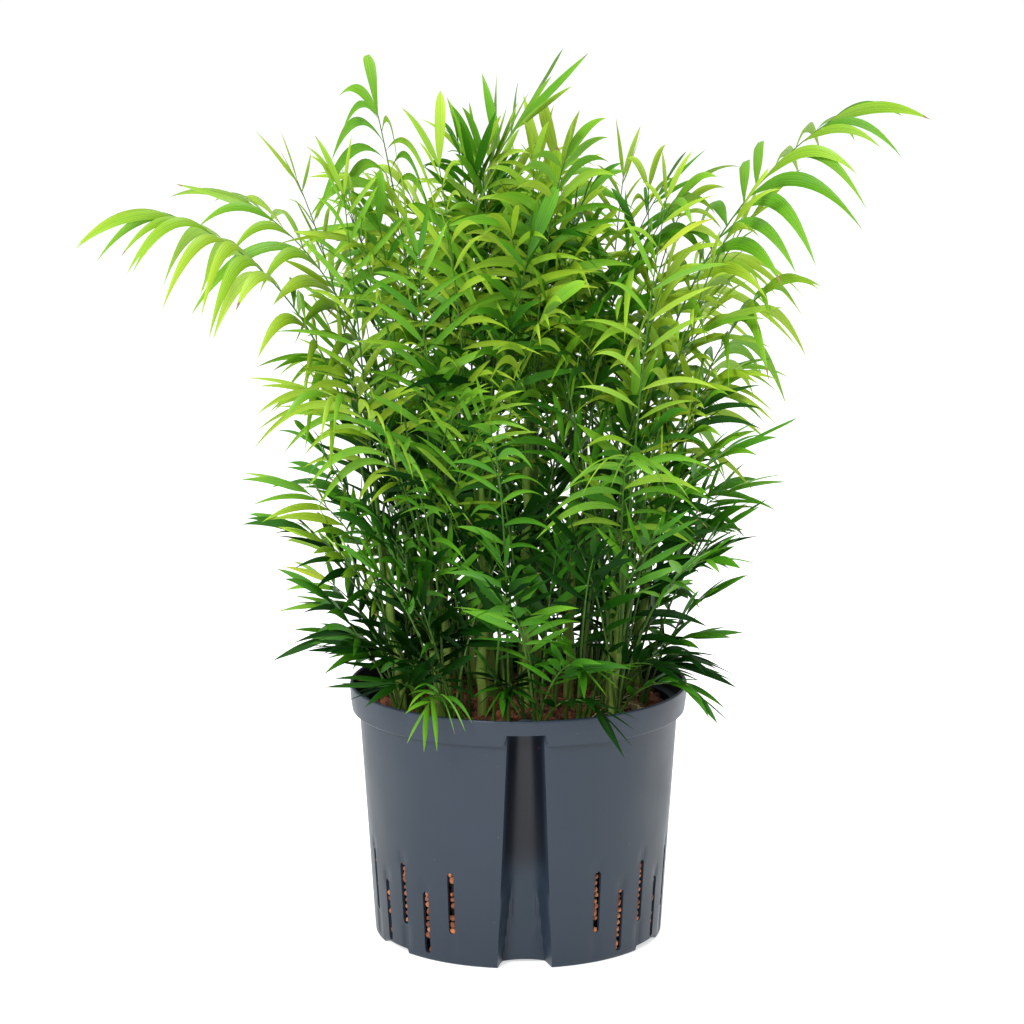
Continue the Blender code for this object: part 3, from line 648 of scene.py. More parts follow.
@dataclass(frozen=True)
class Stem:
    """A cane, or the short foot of a young shoot, and how it leans."""

    x: float
    y: float
    top: float
    lean: float
    toward: float

    def axis(self, share: float) -> np.ndarray:
        """Return the point of the stem's axis at a share of its height."""
        reach = self.lean * (CANE.lean_low * share + (1.0 - CANE.lean_low) * share * share)
        return np.array((self.x, self.y, blend(CLAY_TOP, self.top, share))) + compass(self.toward, reach)

    def at(self, z: float) -> np.ndarray:
        """Return the point of the cane's axis at a height."""
        return self.axis((z - CLAY_TOP) / (self.top - CLAY_TOP))

    def radius(self, z: float) -> float:
        """Return the solid cane's radius at a height, to its corners."""
        radius = blend(CANE.foot_radius, CANE.top_radius, (z - CLAY_TOP) / (self.top - CLAY_TOP))
        return radius * (CANE.flare if z < CLAY_TOP + CANE.flare_height else 1.0)

    def face(self, z: float, bearing: float) -> float:
        """Return how far the solid cane's side stands out from its axis.

        Args:
            z: the height.
            bearing: the direction.

        Returns:
            The distance.
        """
        pitch = 360.0 / CANE.sides
        from_corner = (bearing + pitch / 2) % pitch - pitch / 2
        return self.radius(z) * cos(radians(from_corner))


@dataclass(frozen=True)
class CaneSizes:
    """Sizes that all canes share with their solids."""

    sides: int = 5
    foot_radius: float = 0.0038
    top_radius: float = 0.0029
    flare: float = 1.30
    flare_height: float = 0.0020
    lean_low: float = 0.70


@dataclass(frozen=True)
class FrondSizes:
    """Sizes and angles that all fronds share with their solids."""

    sheath_length: float = 0.024
    sheath_depth: float = 0.004
    leaf_shortening: float = 0.35
    longest_place: float = 0.45
    tip_leaf_share: float = 0.80
    tip_sag_share: float = 0.75
    first_spread: float = 64.0
    last_spread: float = 30.0
    lift: float = 16.0
    spacing: float = 0.0044
    step: float = 0.0025
    free_start: float = 0.018
    first_turn: Span = (30, 90)
    turn_spread: Span = (-14, 14)


CLAY_TOP = 0.1680
CANE = CaneSizes()
FROND = FrondSizes()


@dataclass(frozen=True)
class Frond:
    """A rib that bends down from its rise to its fall, with pairs of leaflets past its bare foot."""

    node: str
    stem: Stem
    foot: Optional[float]
    bearing: float
    rise: float
    fall: float
    length: float
    bend: float
    bare: float
    leaf: float
    pairs: int
    sag: float

    @property
    def is_long(self) -> bool:
        """Return whether this is one of the long outer fronds, each with its own solid."""
        return self.node.startswith("frond") and not self.node.startswith("frond_middle_")

    def axes(self, share: float) -> tuple[np.ndarray, np.ndarray, np.ndarray]:
        """Find how the rib lies.

        Args:
            share: the share of its length.

        Returns:
            Its direction, its side and its upper face there.
        """
        inclination = radians(blend(self.rise, self.fall, share ** self.bend))
        along = compass(self.bearing, cos(inclination)) + UP * sin(inclination)
        side = np.cross(UP, compass(self.bearing))
        return along, side, np.cross(along, side)

    def root(self) -> np.ndarray:
        """Return where the petiole starts: flat against its cane, or inside the sheath on its tip."""
        if self.foot is None:
            return self.stem.axis(1.0) + UP * (CLEARANCE + FROND.sheath_depth)
        z = CLAY_TOP + self.foot
        return self.stem.at(z) + compass(self.bearing) * (self.stem.face(z, self.bearing) + CLEARANCE)

    @cached_property
    def track(self) -> np.ndarray:
        """Return the rib's points at even short steps, from its root to its tip."""
        fine = max(2, int(self.length / FROND.step))
        points = [self.root()]
        for k in range(fine):
            along, _, _ = self.axes((k + 0.5) / fine)
            points.append(points[-1] + along * self.length / fine)
        return np.array(points)

    def rib(self, shares: Sequence[float]) -> np.ndarray:
        """Return the rib's points at increasing shares of its length."""
        places = np.linspace(0.0, 1.0, len(self.track))
        return np.stack([np.interp(shares, places, self.track[:, axis]) for axis in range(3)], -1)


@dataclass(frozen=True)
class Tuft:
    """The ranges that a frond of a tuft is drawn from."""

    pairs: int
    bare: float
    rise: Span
    fall: Span
    length: Span
    bend: Span
    leaf: Span
    sag: Span


def draw_tuft(node: str, stem: Stem, tufts: Sequence[Tuft], chance: Random,
              scale: float = 1.0) -> list[Frond]:
    """Draw the fronds of one stem, each turned on from the last by the golden angle.

    Args:
        node: the solid that they belong to.
        stem: what they grow on.
        tufts: the ranges for each frond.
        chance: the seeded source of the draws.
        scale: their length beside the tufts' own.

    Returns:
        The fronds.
    """
    start = stem.toward + chance.uniform(*FROND.first_turn)
    return [Frond(
        node=node, stem=stem, foot=None,
        bearing=start + GOLDEN_TURN * k + chance.uniform(*FROND.turn_spread),
        rise=chance.uniform(*tuft.rise), fall=chance.uniform(*tuft.fall),
        length=scale * chance.uniform(*tuft.length), bend=chance.uniform(*tuft.bend), bare=tuft.bare,
        leaf=chance.uniform(*tuft.leaf), pairs=tuft.pairs, sag=chance.uniform(*tuft.sag))
        for k, tuft in enumerate(tufts)]


CANES = tuple(Stem(*sizes) for sizes in (
    (-0.086, -0.012, 0.300, 0.016, 185),
    (-0.072, 0.034, 0.325, 0.014, 160),
    (-0.060, -0.040, 0.275, 0.008, 215),
    (-0.052, 0.006, 0.392, 0.010, 190),
    (-0.030, 0.066, 0.330, 0.010, 110),
    (-0.028, -0.034, 0.335, 0.006, 260),
    (-0.020, 0.026, 0.405, 0.004, 100),
    (0.004, -0.016, 0.390, 0.004, 300),
    (0.014, 0.060, 0.370, 0.006, 80),
    (0.038, 0.014, 0.345, 0.006, 40),
    (0.066, -0.018, 0.330, 0.010, 350),
    (0.086, 0.018, 0.285, 0.014, 15),
    (0.054, 0.062, 0.315, 0.012, 55),
    (0.066, -0.056, 0.255, 0.008, 310),
))

LONG_FRONDS = tuple(Frond("frond_" + name, CANES[cane], *sizes) for name, cane, *sizes in (
    ("far_left", 0, 0.126, 180, 80, 18, 0.300, 1.95, 0.38, 0.100, 7, 0.80),
    ("second_left", 1, 0.148, 160, 80, 30, 0.250, 1.95, 0.42, 0.104, 5, 0.60),
    ("top_left", 3, 0.212, 226, 79, 73, 0.240, 1.60, 0.44, 0.096, 6, 1.00),
    ("top_middle", 3, 0.222, 30, 82, 48, 0.225, 2.20, 0.46, 0.096, 5, 0.12),
    ("front_middle", 7, 0.215, 290, 80, 56, 0.215, 2.20, 0.36, 0.086, 6, 0.46),
    ("far_right", 10, 0.160, 14, 79, 31, 0.325, 1.60, 0.36, 0.112, 7, 0.66),
    ("high_right", 9, 0.170, 338, 79, 56, 0.222, 1.90, 0.40, 0.098, 6, 0.66),
    ("mid_right", 11, 0.104, 340, 79, 48, 0.222, 2.10, 0.44, 0.098, 6, 0.85),
    ("low_right", 13, 0.070, 338, 76, 34, 0.160, 1.90, 0.40, 0.078, 5, 0.30),
    ("back_left", 4, 0.150, 118, 76, 4, 0.255, 1.80, 0.38, 0.092, 6, 0.60),
    ("back_middle", 8, 0.190, 78, 77, 12, 0.250, 1.80, 0.38, 0.092, 6, 0.60),
    ("back_right", 12, 0.135, 48, 75, -2, 0.260, 1.80, 0.38, 0.092, 6, 0.60),
    ("front_left", 2, 0.105, 222, 78, 20, 0.190, 1.80, 0.38, 0.080, 6, 0.70),
    ("front_right", 13, 0.078, 292, 78, 10, 0.190, 1.80, 0.40, 0.074, 5, 0.60),
))


@dataclass(frozen=True)
class Palm:
    """The whole plant's rule: where every frond of the solids stands, and the finer ones between them."""

    crown: Tuft = Tuft(4, 0.32, (75, 83), (16, 60), (0.125, 0.175), (1.6, 2.0), (0.070, 0.088), (0.35, 0.75))
    crown_fronds: int = 3
    crown_seed: int = 11
    shortest_crown: float = 0.85
    middle: Tuft = Tuft(5, 0.34, (72, 79), (26, 52), (0.108, 0.138), (1.5, 1.9), (0.060, 0.072), (0.30, 0.60))
    middle_seed: int = 7
    middle_canes: tuple[int, ...] = (0, 2, 4, 11, 12, 13, 5)
    middle_foot: Span = (0.045, 0.085)
    middle_spread: Span = (-25, 25)
    shoot: Tuft = Tuft(4, 0.30, (64, 80), (8, 48), (0.085, 0.130), (1.3, 1.8), (0.052, 0.066), (0.20, 0.55))
    shoot_fronds: int = 3
    shoot_seed: int = 23
    shoot_count: int = 9
    shoot_ring: float = 0.094
    shoot_twist: float = 60.0
    first_shoot: float = 277.0
    front_shoots: tuple[int, ...] = (0, 1, 8)
    low: Tuft = Tuft(4, 0.30, (58, 70), (-30, -6), (0.060, 0.076), (1.2, 1.5), (0.038, 0.044), (0.35, 0.60))
    upright: Tuft = Tuft(5, 0.36, (79, 86), (46, 70), (0.125, 0.160), (1.5, 2.0), (0.056, 0.068),
                         (0.20, 0.50))
    turn_tries: tuple[int, ...] = (0, 4, -4, 8, -8, 12, -12, 17, -17, 23, -23, 30, -30, 38, -38, 47, -47,
                                   57, -57)
    inner: Tuft = Tuft(6, 0.48, (79, 88), (25, 70), (0.180, 0.262), (1.6, 2.4), (0.060, 0.080), (0.30, 0.90))
    inner_fronds: int = 1
    inner_seed: int = 31
    inner_foot: Span = (0.008, 0.090)
    under: Tuft = Tuft(5, 0.52, (83, 89), (34, 80), (0.115, 0.260), (1.5, 2.6), (0.046, 0.062), (0.20, 0.70))
    under_count: int = 46
    under_seed: int = 37
    under_ring: float = 0.088
    under_clear: float = 0.0085
    under_turn: Span = (-10, 10)
    skirt: Tuft = Tuft(4, 0.58, (66, 82), (10, 48), (0.105, 0.190), (1.5, 2.3), (0.046, 0.062), (0.10, 0.50))
    skirt_count: int = 34
    skirt_seed: int = 53
    skirt_ring: Span = (0.066, 0.092)
    skirt_turn: Span = (-24, 24)
    star: Tuft = Tuft(4, 0.56, (64, 82), (-20, 30), (0.055, 0.095), (1.2, 1.8), (0.0465, 0.056), (0.15, 0.45))
    star_count: int = 28
    star_seed: int = 61
    star_ring: Span = (0.058, 0.094)
    plume: Tuft = Tuft(5, 0.42, (80, 89), (52, 80), (0.1, 0.1), (1.8, 2.8), (0.068, 0.084), (0.25, 0.85))
    plume_fronds: int = 3
    plume_seed: int = 71
    plume_foot: float = 0.030
    plume_top: Span = (0.545, 0.626)
    plume_slope: float = 0.60
    least_plume: float = 0.12
    front: float = 270.0
    front_gap: float = 42.0
    open_reach: float = 0.045

    def in_front(self, bearing: float) -> bool:
        """Return whether a bearing lies in front, where the low fronds stand further apart."""
        return abs(bearing - self.front) < self.front_gap

    def crowns(self) -> list[Frond]:
        """Return the fronds on the tips of the canes, longer on the taller ones."""
        chance = Random(self.crown_seed)
        tallest = max(cane.top for cane in CANES)
        fronds = []
        for index, cane in enumerate(CANES):
            scale = blend(self.shortest_crown, 1.0, (cane.top - CLAY_TOP) / (tallest - CLAY_TOP))
            tufts = (self.crown,) * self.crown_fronds
            fronds += draw_tuft(f"crown_{index + 1:02d}", cane, tufts, chance, scale)
        return fronds

    def middles(self) -> list[Frond]:
        """Return a frond on the outer side of each cane named for one."""
        chance = Random(self.middle_seed)
        fronds = []
        for k, index in enumerate(self.middle_canes):
            cane = CANES[index]
            frond = draw_tuft(f"frond_middle_{k + 1:02d}", cane, (self.middle,), chance)[0]
            outward = degrees(atan2(cane.y, cane.x)) + chance.uniform(*self.middle_spread)
            fronds.append(replace(frond, foot=chance.uniform(*self.middle_foot), bearing=outward))
        return fronds

    def shoots(self) -> list[Frond]:
        """Return the fronds of the young shoots, which stand evenly round the pot."""
        chance = Random(self.shoot_seed)
        fronds = []
        for k in range(self.shoot_count):
            bearing = self.first_shoot + 360.0 * k / self.shoot_count
            x, y, _ = compass(bearing, self.shoot_ring)
            stem = Stem(x, y, CLAY_TOP, 0.0, bearing - self.shoot_twist)
            front = (self.low, self.upright, self.upright)
            tufts = front if k in self.front_shoots else (self.shoot,) * self.shoot_fronds
            fronds += draw_tuft(f"shoot_{k + 1:02d}", stem, tufts, chance)
        return fronds

    def settled(self) -> list[Frond]:
        """Turn each frond by the least step that keeps its rib clear of the rest, as in the solids.

        Returns:
            The solids' fronds in their own places.
        """
        placed: list[tuple[str, Stem, np.ndarray, float]] = []
        for cane in CANES:
            heights = np.arange(CLAY_TOP, cane.top + FROND.sheath_length, FROND.step)
            placed.append(("cane", cane, np.array([cane.at(z) for z in heights]), CANE.foot_radius))
        settled = []
        for frond in list(LONG_FRONDS) + self.middles() + self.crowns() + self.shoots():
            shares = np.arange(0.0, 1.0001, FROND.step / frond.length)
            free = shares * frond.length > FROND.free_start
            best, widest = frond, -1.0
            for turn in self.turn_tries:
                trial = replace(frond, bearing=frond.bearing + turn)
                points = trial.rib(shares)
                gap = FROND.spacing
                for kind, stem, others, thickness in placed:
                    if kind == "cane" and stem == frond.stem:
                        continue
                    tested = points[free] if kind == "tuft" and stem == frond.stem else points
                    apart = np.linalg.norm(tested[:, None] - others[None], axis=-1).min() - thickness
                    gap = min(gap, apart)
                if gap > widest:
                    best, widest = trial, gap
                if widest >= FROND.spacing:
                    break
            kept = best.rib(shares)
            kind = "tuft" if frond.foot is None else "frond"
            placed.append((kind, frond.stem, kept[free] if kind == "tuft" else kept, 0.0))
            settled.append(best)
        return settled

    def slender(self) -> list[Frond]:
        """Return the slender upright fronds that fill the middle, low on every cane."""
        chance = Random(self.inner_seed)
        fronds = []
        for index, cane in enumerate(CANES):
            tufts = (self.inner,) * self.inner_fronds
            for frond in draw_tuft(f"crown_{index + 1:02d}", cane, tufts, chance):
                fronds.append(replace(frond, foot=chance.uniform(*self.inner_foot)))
        return fronds

    def rising(self, tuft: Tuft, reach: float, bearing: float, chance: Random) -> list[Frond]:
        """Return the frond that rises out of the clay at a spot, or none where a cane stands.

        Args:
            tuft: the ranges that it is drawn from.
            reach: the spot's distance from the middle.
            bearing: the spot's direction.
            chance: the seeded source of the draws.

        Returns:
            The frond, in the solid of the nearest young shoot.
        """
        x, y, _ = compass(bearing, reach)
        shoot = round((bearing - self.first_shoot) / (360.0 / self.shoot_count)) % self.shoot_count
        stem = Stem(x, y, CLAY_TOP, 0.0, bearing - self.shoot_twist)
        drawn = draw_tuft(f"shoot_{shoot + 1:02d}", stem, (tuft,), chance)
        clear = min(hypot(x - cane.x, y - cane.y) for cane in CANES) > self.under_clear
        return drawn if clear else []

    def leaning(self, tuft: Tuft, ring: Span, bearing: float, chance: Random) -> list[Frond]:
        """Return the frond that rises out of the clay within a ring and leans outwards, or none."""
        grown = self.rising(tuft, chance.uniform(*ring), bearing, chance)
        return [replace(frond, bearing=bearing + chance.uniform(*self.skirt_turn)) for frond in grown]

    def undergrowth(self) -> list[Frond]:
        """Return the thin fronds that rise out of the clay between the canes."""
        chance = Random(self.under_seed)
        fronds = []
        for k in range(self.under_count):
            reach = self.under_ring * sqrt((k + 0.5) / self.under_count)
            bearing = (GOLDEN_TURN * k + chance.uniform(*self.under_turn)) % 360.0
            if k % 3 == 0 or reach <= self.open_reach or not self.in_front(bearing):
                fronds += self.rising(self.under, reach, bearing, chance)
        return fronds

    def stars(self) -> list[Frond]:
        """Return the short fronds with spread leaflets that stand low among the stems."""
        chance = Random(self.star_seed)
        fronds = []
        for k in range(self.star_count):
            bearing = 360.0 * k / self.star_count + chance.uniform(*self.under_turn)
            fronds += self.leaning(self.star, self.star_ring, bearing, chance)
        return fronds

    def plumes(self) -> list[Frond]:
        """Return the upright fronds that end at the top of the crown, from high on every cane."""
        chance = Random(self.plume_seed)
        fronds = []
        for index, cane in enumerate(CANES):
            for frond in draw_tuft(f"crown_{index + 1:02d}", cane, (self.plume,) * self.plume_fronds, chance):
                foot = cane.top - self.plume_foot
                top = chance.uniform(*self.plume_top) - self.plume_slope * hypot(cane.x, cane.y)
                length = max(top - foot, self.least_plume)
                fronds.append(replace(frond, foot=foot - CLAY_TOP, length=length))
        return fronds

    def skirts(self) -> list[Frond]:
        """Return the fronds that lean out low all round, over the pot's rim, sparser in front."""
        chance = Random(self.skirt_seed)
        fronds = []
        for k in range(self.skirt_count):
            bearing = 360.0 * k / self.skirt_count
            if k % 2 == 0 or not self.in_front(bearing):
                fronds += self.leaning(self.skirt, self.skirt_ring, bearing, chance)
        return fronds


# Leaflets


@dataclass(frozen=True)
class Leaflet:
    """One leaflet: where it starts, where it aims, how its blade lies and how its tip bends away."""

    root: np.ndarray
    aim: np.ndarray
    across: np.ndarray
    face: np.ndarray
    bend: np.ndarray
    twist: float
    blunt: float
    tone: int
    dry_from: float


@dataclass(frozen=True)
class LeafletShape:
    """Geometry nodes that draw a folded blade, bending towards its tip, at each seed point."""

    steps_along: int = 14
    steps_across: int = 2
    fold: float = 0.34
    bend_power: float = 2.1
    lance: tuple[Span, ...] = ((0.0, 0.15), (0.05, 0.30), (0.15, 0.72), (0.28, 0.97), (0.46, 1.0),
                               (0.66, 0.82), (0.82, 0.50), (0.93, 0.21), (1.0, 0.012))
    broad: tuple[Span, ...] = ((0.0, 0.14), (0.08, 0.34), (0.30, 0.80), (0.60, 1.0), (0.82, 0.88),
                               (0.93, 0.58), (1.0, 0.06))

    @staticmethod
    def outline(net: Net, share: NodeSocket, points: Sequence[Span]) -> NodeSocket:
        """Read a blade's half width from an outline.

        Args:
            net: the tree under construction.
            share: the place along the blade.
            points: the outline's points, each a place and a half width.

        Returns:
            The half width at that place.
        """
        node = net.add("ShaderNodeFloatCurve", {"Value": share})
        curve = node.mapping.curves[0]
        curve.points[0].location, curve.points[-1].location = points[0], points[-1]
        for place in points[1:-1]:
            curve.points.new(*place)
        node.mapping.update()
        return node.outputs[0]

    def tree(self, materials: Sequence[Material]) -> NodeTree:
        """Build the node group.

        Args:
            materials: one for each leaf tone, in order.

        Returns:
            The geometry node group.
        """
        net, given = new_tree("grow_leaflets", {"Steps along": 12, "Steps across": 4, "Fold": 0.3,
                                                "Bend power": 2.0})
        grid = net.add("GeometryNodeMeshGrid", {
            "Size X": 1.0, "Size Y": 1.0, "Vertices X": net.math("ADD", given["Steps along"], 1.0),
            "Vertices Y": net.math("ADD", given["Steps across"], 1.0)})
        flat = net.get("GeometryNodeStoreNamedAttribute",
                       {"Geometry": grid.outputs["Mesh"], "Name": "UVMap", "Value": grid.outputs["UV Map"]},
                       data_type="FLOAT2", domain="CORNER")
        spot = net.add("ShaderNodeSeparateXYZ", {0: net.get("GeometryNodeInputPosition")})
        for label, value in (("along", net.math("ADD", spot.outputs["X"], 0.5)),
                             ("beside", net.math("MULTIPLY", spot.outputs["Y"], 2.0))):
            flat = net.get("GeometryNodeStoreNamedAttribute",
                           {"Geometry": flat, "Name": label, "Value": value})
        spread = net.get("GeometryNodeInstanceOnPoints", {"Points": given["Geometry"], "Instance": flat})
        real = net.get("GeometryNodeRealizeInstances", {"Geometry": spread})
        along, beside = net.stored("along"), net.stored("beside")
        aim = net.stored("aim", "FLOAT_VECTOR")
        width = net.get("ShaderNodeMix", {"Factor": net.stored("blunt"),
                                          "A": self.outline(net, along, self.lance),
                                          "B": self.outline(net, along, self.broad)}, "Result")
        turn = net.math("MULTIPLY", net.stored("twist"), along)
        across, face = (net.get("ShaderNodeVectorRotate",
                                {"Vector": net.stored(label, "FLOAT_VECTOR"), "Axis": aim, "Angle": turn},
                                rotation_type="AXIS_ANGLE") for label in ("across", "face"))
        half = net.math("MULTIPLY", beside, width)
        dip = net.math("MULTIPLY", net.math("MULTIPLY", net.math("ABSOLUTE", half), given["Fold"]), -1.0)
        bend = net.math("POWER", along, given["Bend power"])
        place = net.stored("root", "FLOAT_VECTOR")
        for vector, factor in ((aim, along), (across, half), (face, dip),
                               (net.stored("bend", "FLOAT_VECTOR"), bend)):
            place = net.vector("ADD", place, net.scaled(vector, factor))
        shaped = net.get("GeometryNodeSetPosition", {"Geometry": real, "Position": place})
        shaped = net.get("GeometryNodeSetShadeSmooth", {"Geometry": shaped})
        tone = net.stored("tone", "INT")
        choices = [(net.get("FunctionNodeCompare", {"A": tone, "B": index}, data_type="INT",
                            operation="EQUAL"), material) for index, material in enumerate(materials)]
        choices.append((net.math("GREATER_THAN", along, net.stored("dry_from")), materials[-1]))
        for chosen, material in choices:
            shaped = net.get("GeometryNodeSetMaterial", {"Geometry": shaped, "Selection": chosen,
                                                         "Material": material})
        net.add("NodeGroupOutput", {"Geometry": shaped})
        return net.tree

    def grow(self, name: str, leaflets: Sequence[Leaflet], tree: NodeTree) -> Object:
        """Grow the blades of a group of leaflets into one piece.

        Args:
            name: the piece's name.
            leaflets: the leaflets.
            tree: the node group from tree().

        Returns:
            The piece.
        """
        values = {field.name: [getattr(leaf, field.name) for leaf in leaflets] for field in fields(Leaflet)}
        return grow_piece(name, seed_mesh(name, values["root"], values), tree, {
            "Steps along": self.steps_along, "Steps across": self.steps_across, "Fold": self.fold,
            "Bend power": self.bend_power}, ("UVMap",))


@dataclass(frozen=True)
class TubeShape:
    """Geometry nodes that sweep a round section of changing radius along each seed line."""

    sides: int = 8

    @staticmethod
    def tree(label: str, material: Material) -> NodeTree:
        """Build the node group.

        Args:
            label: what the tubes are.
            material: their finish.

        Returns:
            The geometry node group.
        """
        net, given = new_tree("sweep_" + label, {"Sides": 8})
        lines = net.get("GeometryNodeMeshToCurve", {"Mesh": given["Geometry"]})
        section = net.get("GeometryNodeCurvePrimitiveCircle", {"Resolution": given["Sides"], "Radius": 1.0})
        tubes = net.get("GeometryNodeCurveToMesh", {"Curve": lines, "Profile Curve": section,
                                                    "Scale": net.stored("thick"), "Fill Caps": True})
        smooth = net.get("GeometryNodeSetShadeSmooth", {"Geometry": tubes})
        real = net.get("GeometryNodeRealizeInstances", {"Geometry": smooth})
        net.add("NodeGroupOutput", {"Geometry": net.get(
            "GeometryNodeSetMaterial", {"Geometry": real, "Material": material})})
        return net.tree

    def sweep(self, name: str, lines: Sequence[Track], tree: NodeTree) -> Object:
        """Sweep a group of lines into one piece.

        Args:
            name: the piece's name.
            lines: for each tube, its points and its radius at each.
            tree: the node group from tree().

        Returns:
            The piece.
        """
        points: list[Point] = []
        edges: list[tuple[int, int]] = []
        for track, _ in lines:
            edges += [(k, k + 1) for k in range(len(points), len(points) + len(track) - 1)]
            points += list(track)
        radii = np.concatenate([thick for _, thick in lines])
        return grow_piece(name, seed_mesh(name, points, {"thick": radii}, edges), tree, {"Sides": self.sides})


@dataclass(frozen=True)
class Habit:
    """How one kind of frond carries its leaflets, beside the fronds of the solids."""

    finer: float
    width: Span
    longer: float = 1.0
    roll: float = 30.0
    sag: Span = (0.55, 1.50)
    sweep: float = 1.0
    blunt_chance: float = 0.16


@dataclass(frozen=True)
class FrondDresser:
    """Draws the leaflets and the rib of a frond, finer than the solids and within their reach."""

    plain: Habit = Habit(1.50, (0.066, 0.090))
    low: Habit = Habit(1.20, (0.100, 0.138))
    short: Habit = Habit(1.20, (0.165, 0.165))
    long: Habit = Habit(1.45, (0.080, 0.100), 1.12, 10.0, (0.90, 1.45), 0.35, 0.55)
    low_leaf: float = 0.0625
    short_leaf: float = 0.046
    short_light: float = 0.14
    tip_width: float = 1.16
    blunt_width: float = 2.0
    blunt_sag: float = 0.35
    least_blunt: float = 0.062
    stagger: float = 0.34
    root_place: float = 0.20
    place_jitter: float = 0.14
    length_range: Span = (0.80, 1.04)
    spread_jitter: float = 12.0
    lift_jitter: float = 20.0
    sweep_range: Span = (0.02, 0.22)
    twist_range: Span = (-1.1, 1.1)
    fork: float = 13.0
    fork_jitter: float = 5.0
    tip_place: float = 0.995
    least_across: float = 0.2
    yellow_chance: float = 0.0012
    least_yellow_light: float = 0.5
    dry_tip_chance: float = 0.10
    dry_from: Span = (0.90, 0.97)
    low_height: float = 0.262
    high_height: float = 0.560
    height_painted_light: float = 0.90
    outside_reach: float = 0.20
    most_outside: float = 1.12
    outside_painted_light: float = 0.82
    inside_painted_shade: float = 0.20
    frond_light: float = 0.48
    long_light: Span = (-0.22, -0.06)
    leaf_light: float = 0.16
    rib_steps: int = 26
    rib_tip: float = 0.00036
    rib_middle: float = 0.00078
    rib_foot: float = 0.00115
    base_swell: float = 0.0006
    base_length: float = 0.012
    sunk: float = 0.012

    def habit(self, frond: Frond) -> Habit:
        """Return how a frond carries its leaflets, as its length and theirs say."""
        small = self.short if frond.leaf < self.short_leaf else self.low
        return self.long if frond.is_long else small if frond.leaf < self.low_leaf else self.plain

    def light(self, frond: Frond, chance: Random) -> float:
        """Judge how light a frond's green is: painted light high up and outside, painted shade low down and
        inside, with a random difference of its own.

        Args:
            frond: the frond.
            chance: the seeded source of its own difference.

        Returns:
            The lightness, from 0 to 1.
        """
        tip = frond.rib([1.0])[0]
        height = (tip[2] - self.low_height) / (self.high_height - self.low_height)
        outside = min(hypot(tip[0], tip[1]) / self.outside_reach, self.most_outside) ** 2
        # Painted light high up and out towards the edge of the crown, painted shade inside it.
        light = self.height_painted_light * height + self.outside_painted_light * outside - self.inside_painted_shade
        if frond.is_long:
            return min(light, 1.0) + chance.uniform(*self.long_light)
        light += self.short_light if frond.leaf < self.short_leaf else 0.0
        return light + chance.uniform(-self.frond_light, self.frond_light)

    def tone(self, light: float, chance: Random) -> int:
        """Deal a leaflet its finish.

        Args:
            light: its frond's lightness.
            chance: the seeded source of its own difference.

        Returns:
            The finish's number.
        """
        if light > self.least_yellow_light and chance.random() < self.yellow_chance:
            return GREEN_STEPS
        own = light + chance.uniform(-self.leaf_light, self.leaf_light)
        return round((1.0 - min(max(own, 0.0), 1.0)) * (GREEN_STEPS - 1))

    def blade(self, frond: Frond, share: float, aim: np.ndarray, size: tuple[float, float, float],
              light: float, chance: Random, blunt: float = 0.0) -> Leaflet:
        """Lay one blade.

        Args:
            frond: the frond that it grows on.
            share: the share of the rib's length at which it grows.
            aim: its direction, of length one.
            size: its length, its width, and how far its tip droops beside its length.
            light: the frond's lightness.
            chance: the seeded source of its small differences.
            blunt: 0 for a lance and 1 for a broad blunt blade.

        Returns:
            The leaflet.
        """
        length, width, sag = size
        along, _, _ = frond.axes(share)
        sweep = chance.uniform(*self.sweep_range) * self.habit(frond).sweep
        bend = length * (along * sweep - UP * sag)
        line = unit(aim * length + bend)
        across = along - line * np.dot(along, line)
        if np.linalg.norm(across) < self.least_across:
            across = np.cross(line, UP)
        across = unit(across)
        face = np.cross(across, line)
        face = face if face[2] > 0 else -face
        dry = chance.uniform(*self.dry_from) if chance.random() < self.dry_tip_chance else NEVER_DRY
        return Leaflet(frond.rib([share])[0], aim * length, across * width / 2, face * width / 2,
                       bend, chance.uniform(*self.twist_range), blunt, self.tone(light, chance), dry)

    def leaflets(self, frond: Frond, chance: Random) -> list[Leaflet]:
        """Draw all leaflets of a frond.

        Args:
            frond: the frond.
            chance: the seeded source of their small differences.

        Returns:
            The leaflets, with the forked pair at the tip.
        """
        light, habit = self.light(frond, chance), self.habit(frond)
        wide = chance.uniform(*habit.width)
        pairs = ceil(frond.pairs * habit.finer)
        roll = radians(chance.uniform(-habit.roll, habit.roll))
        pitch = (1.0 - frond.bare) / pairs
        blades = []
        for k in range(pairs):
            for hand in (1, -1):
                late = self.stagger if hand < 0 else 0.0
                shift = self.root_place + late + chance.uniform(-self.place_jitter, self.place_jitter)
                share = frond.bare + pitch * (k + shift)
                along, flat_side, flat_upper = frond.axes(share)
                side = flat_side * cos(roll) + flat_upper * sin(roll)
                upper = flat_upper * cos(roll) - flat_side * sin(roll)
                place = (share - frond.bare) / (1.0 - frond.bare)
                length = frond.leaf * (1.0 - FROND.leaf_shortening * (2 * (place - FROND.longest_place)) ** 2)
                length *= habit.longer * chance.uniform(*self.length_range)
                spread = blend(FROND.first_spread, FROND.last_spread, place)
                spread = radians(spread + chance.uniform(-self.spread_jitter, self.spread_jitter))
                lift = radians(FROND.lift + chance.uniform(-self.lift_jitter, self.lift_jitter))
                outward = side * hand * cos(lift) + upper * sin(lift)
                aim = along * cos(spread) + outward * sin(spread)
                size = (length, length * wide, frond.sag * chance.uniform(*habit.sag))
                blades.append(self.blade(frond, share, aim, size, light, chance))
        along, side, _ = frond.axes(1.0)
        blunt_hand = 1 if frond.leaf > self.least_blunt and chance.random() < habit.blunt_chance else 0
        for hand in (1, -1):
            turn = radians(self.fork + chance.uniform(-self.fork_jitter, self.fork_jitter))
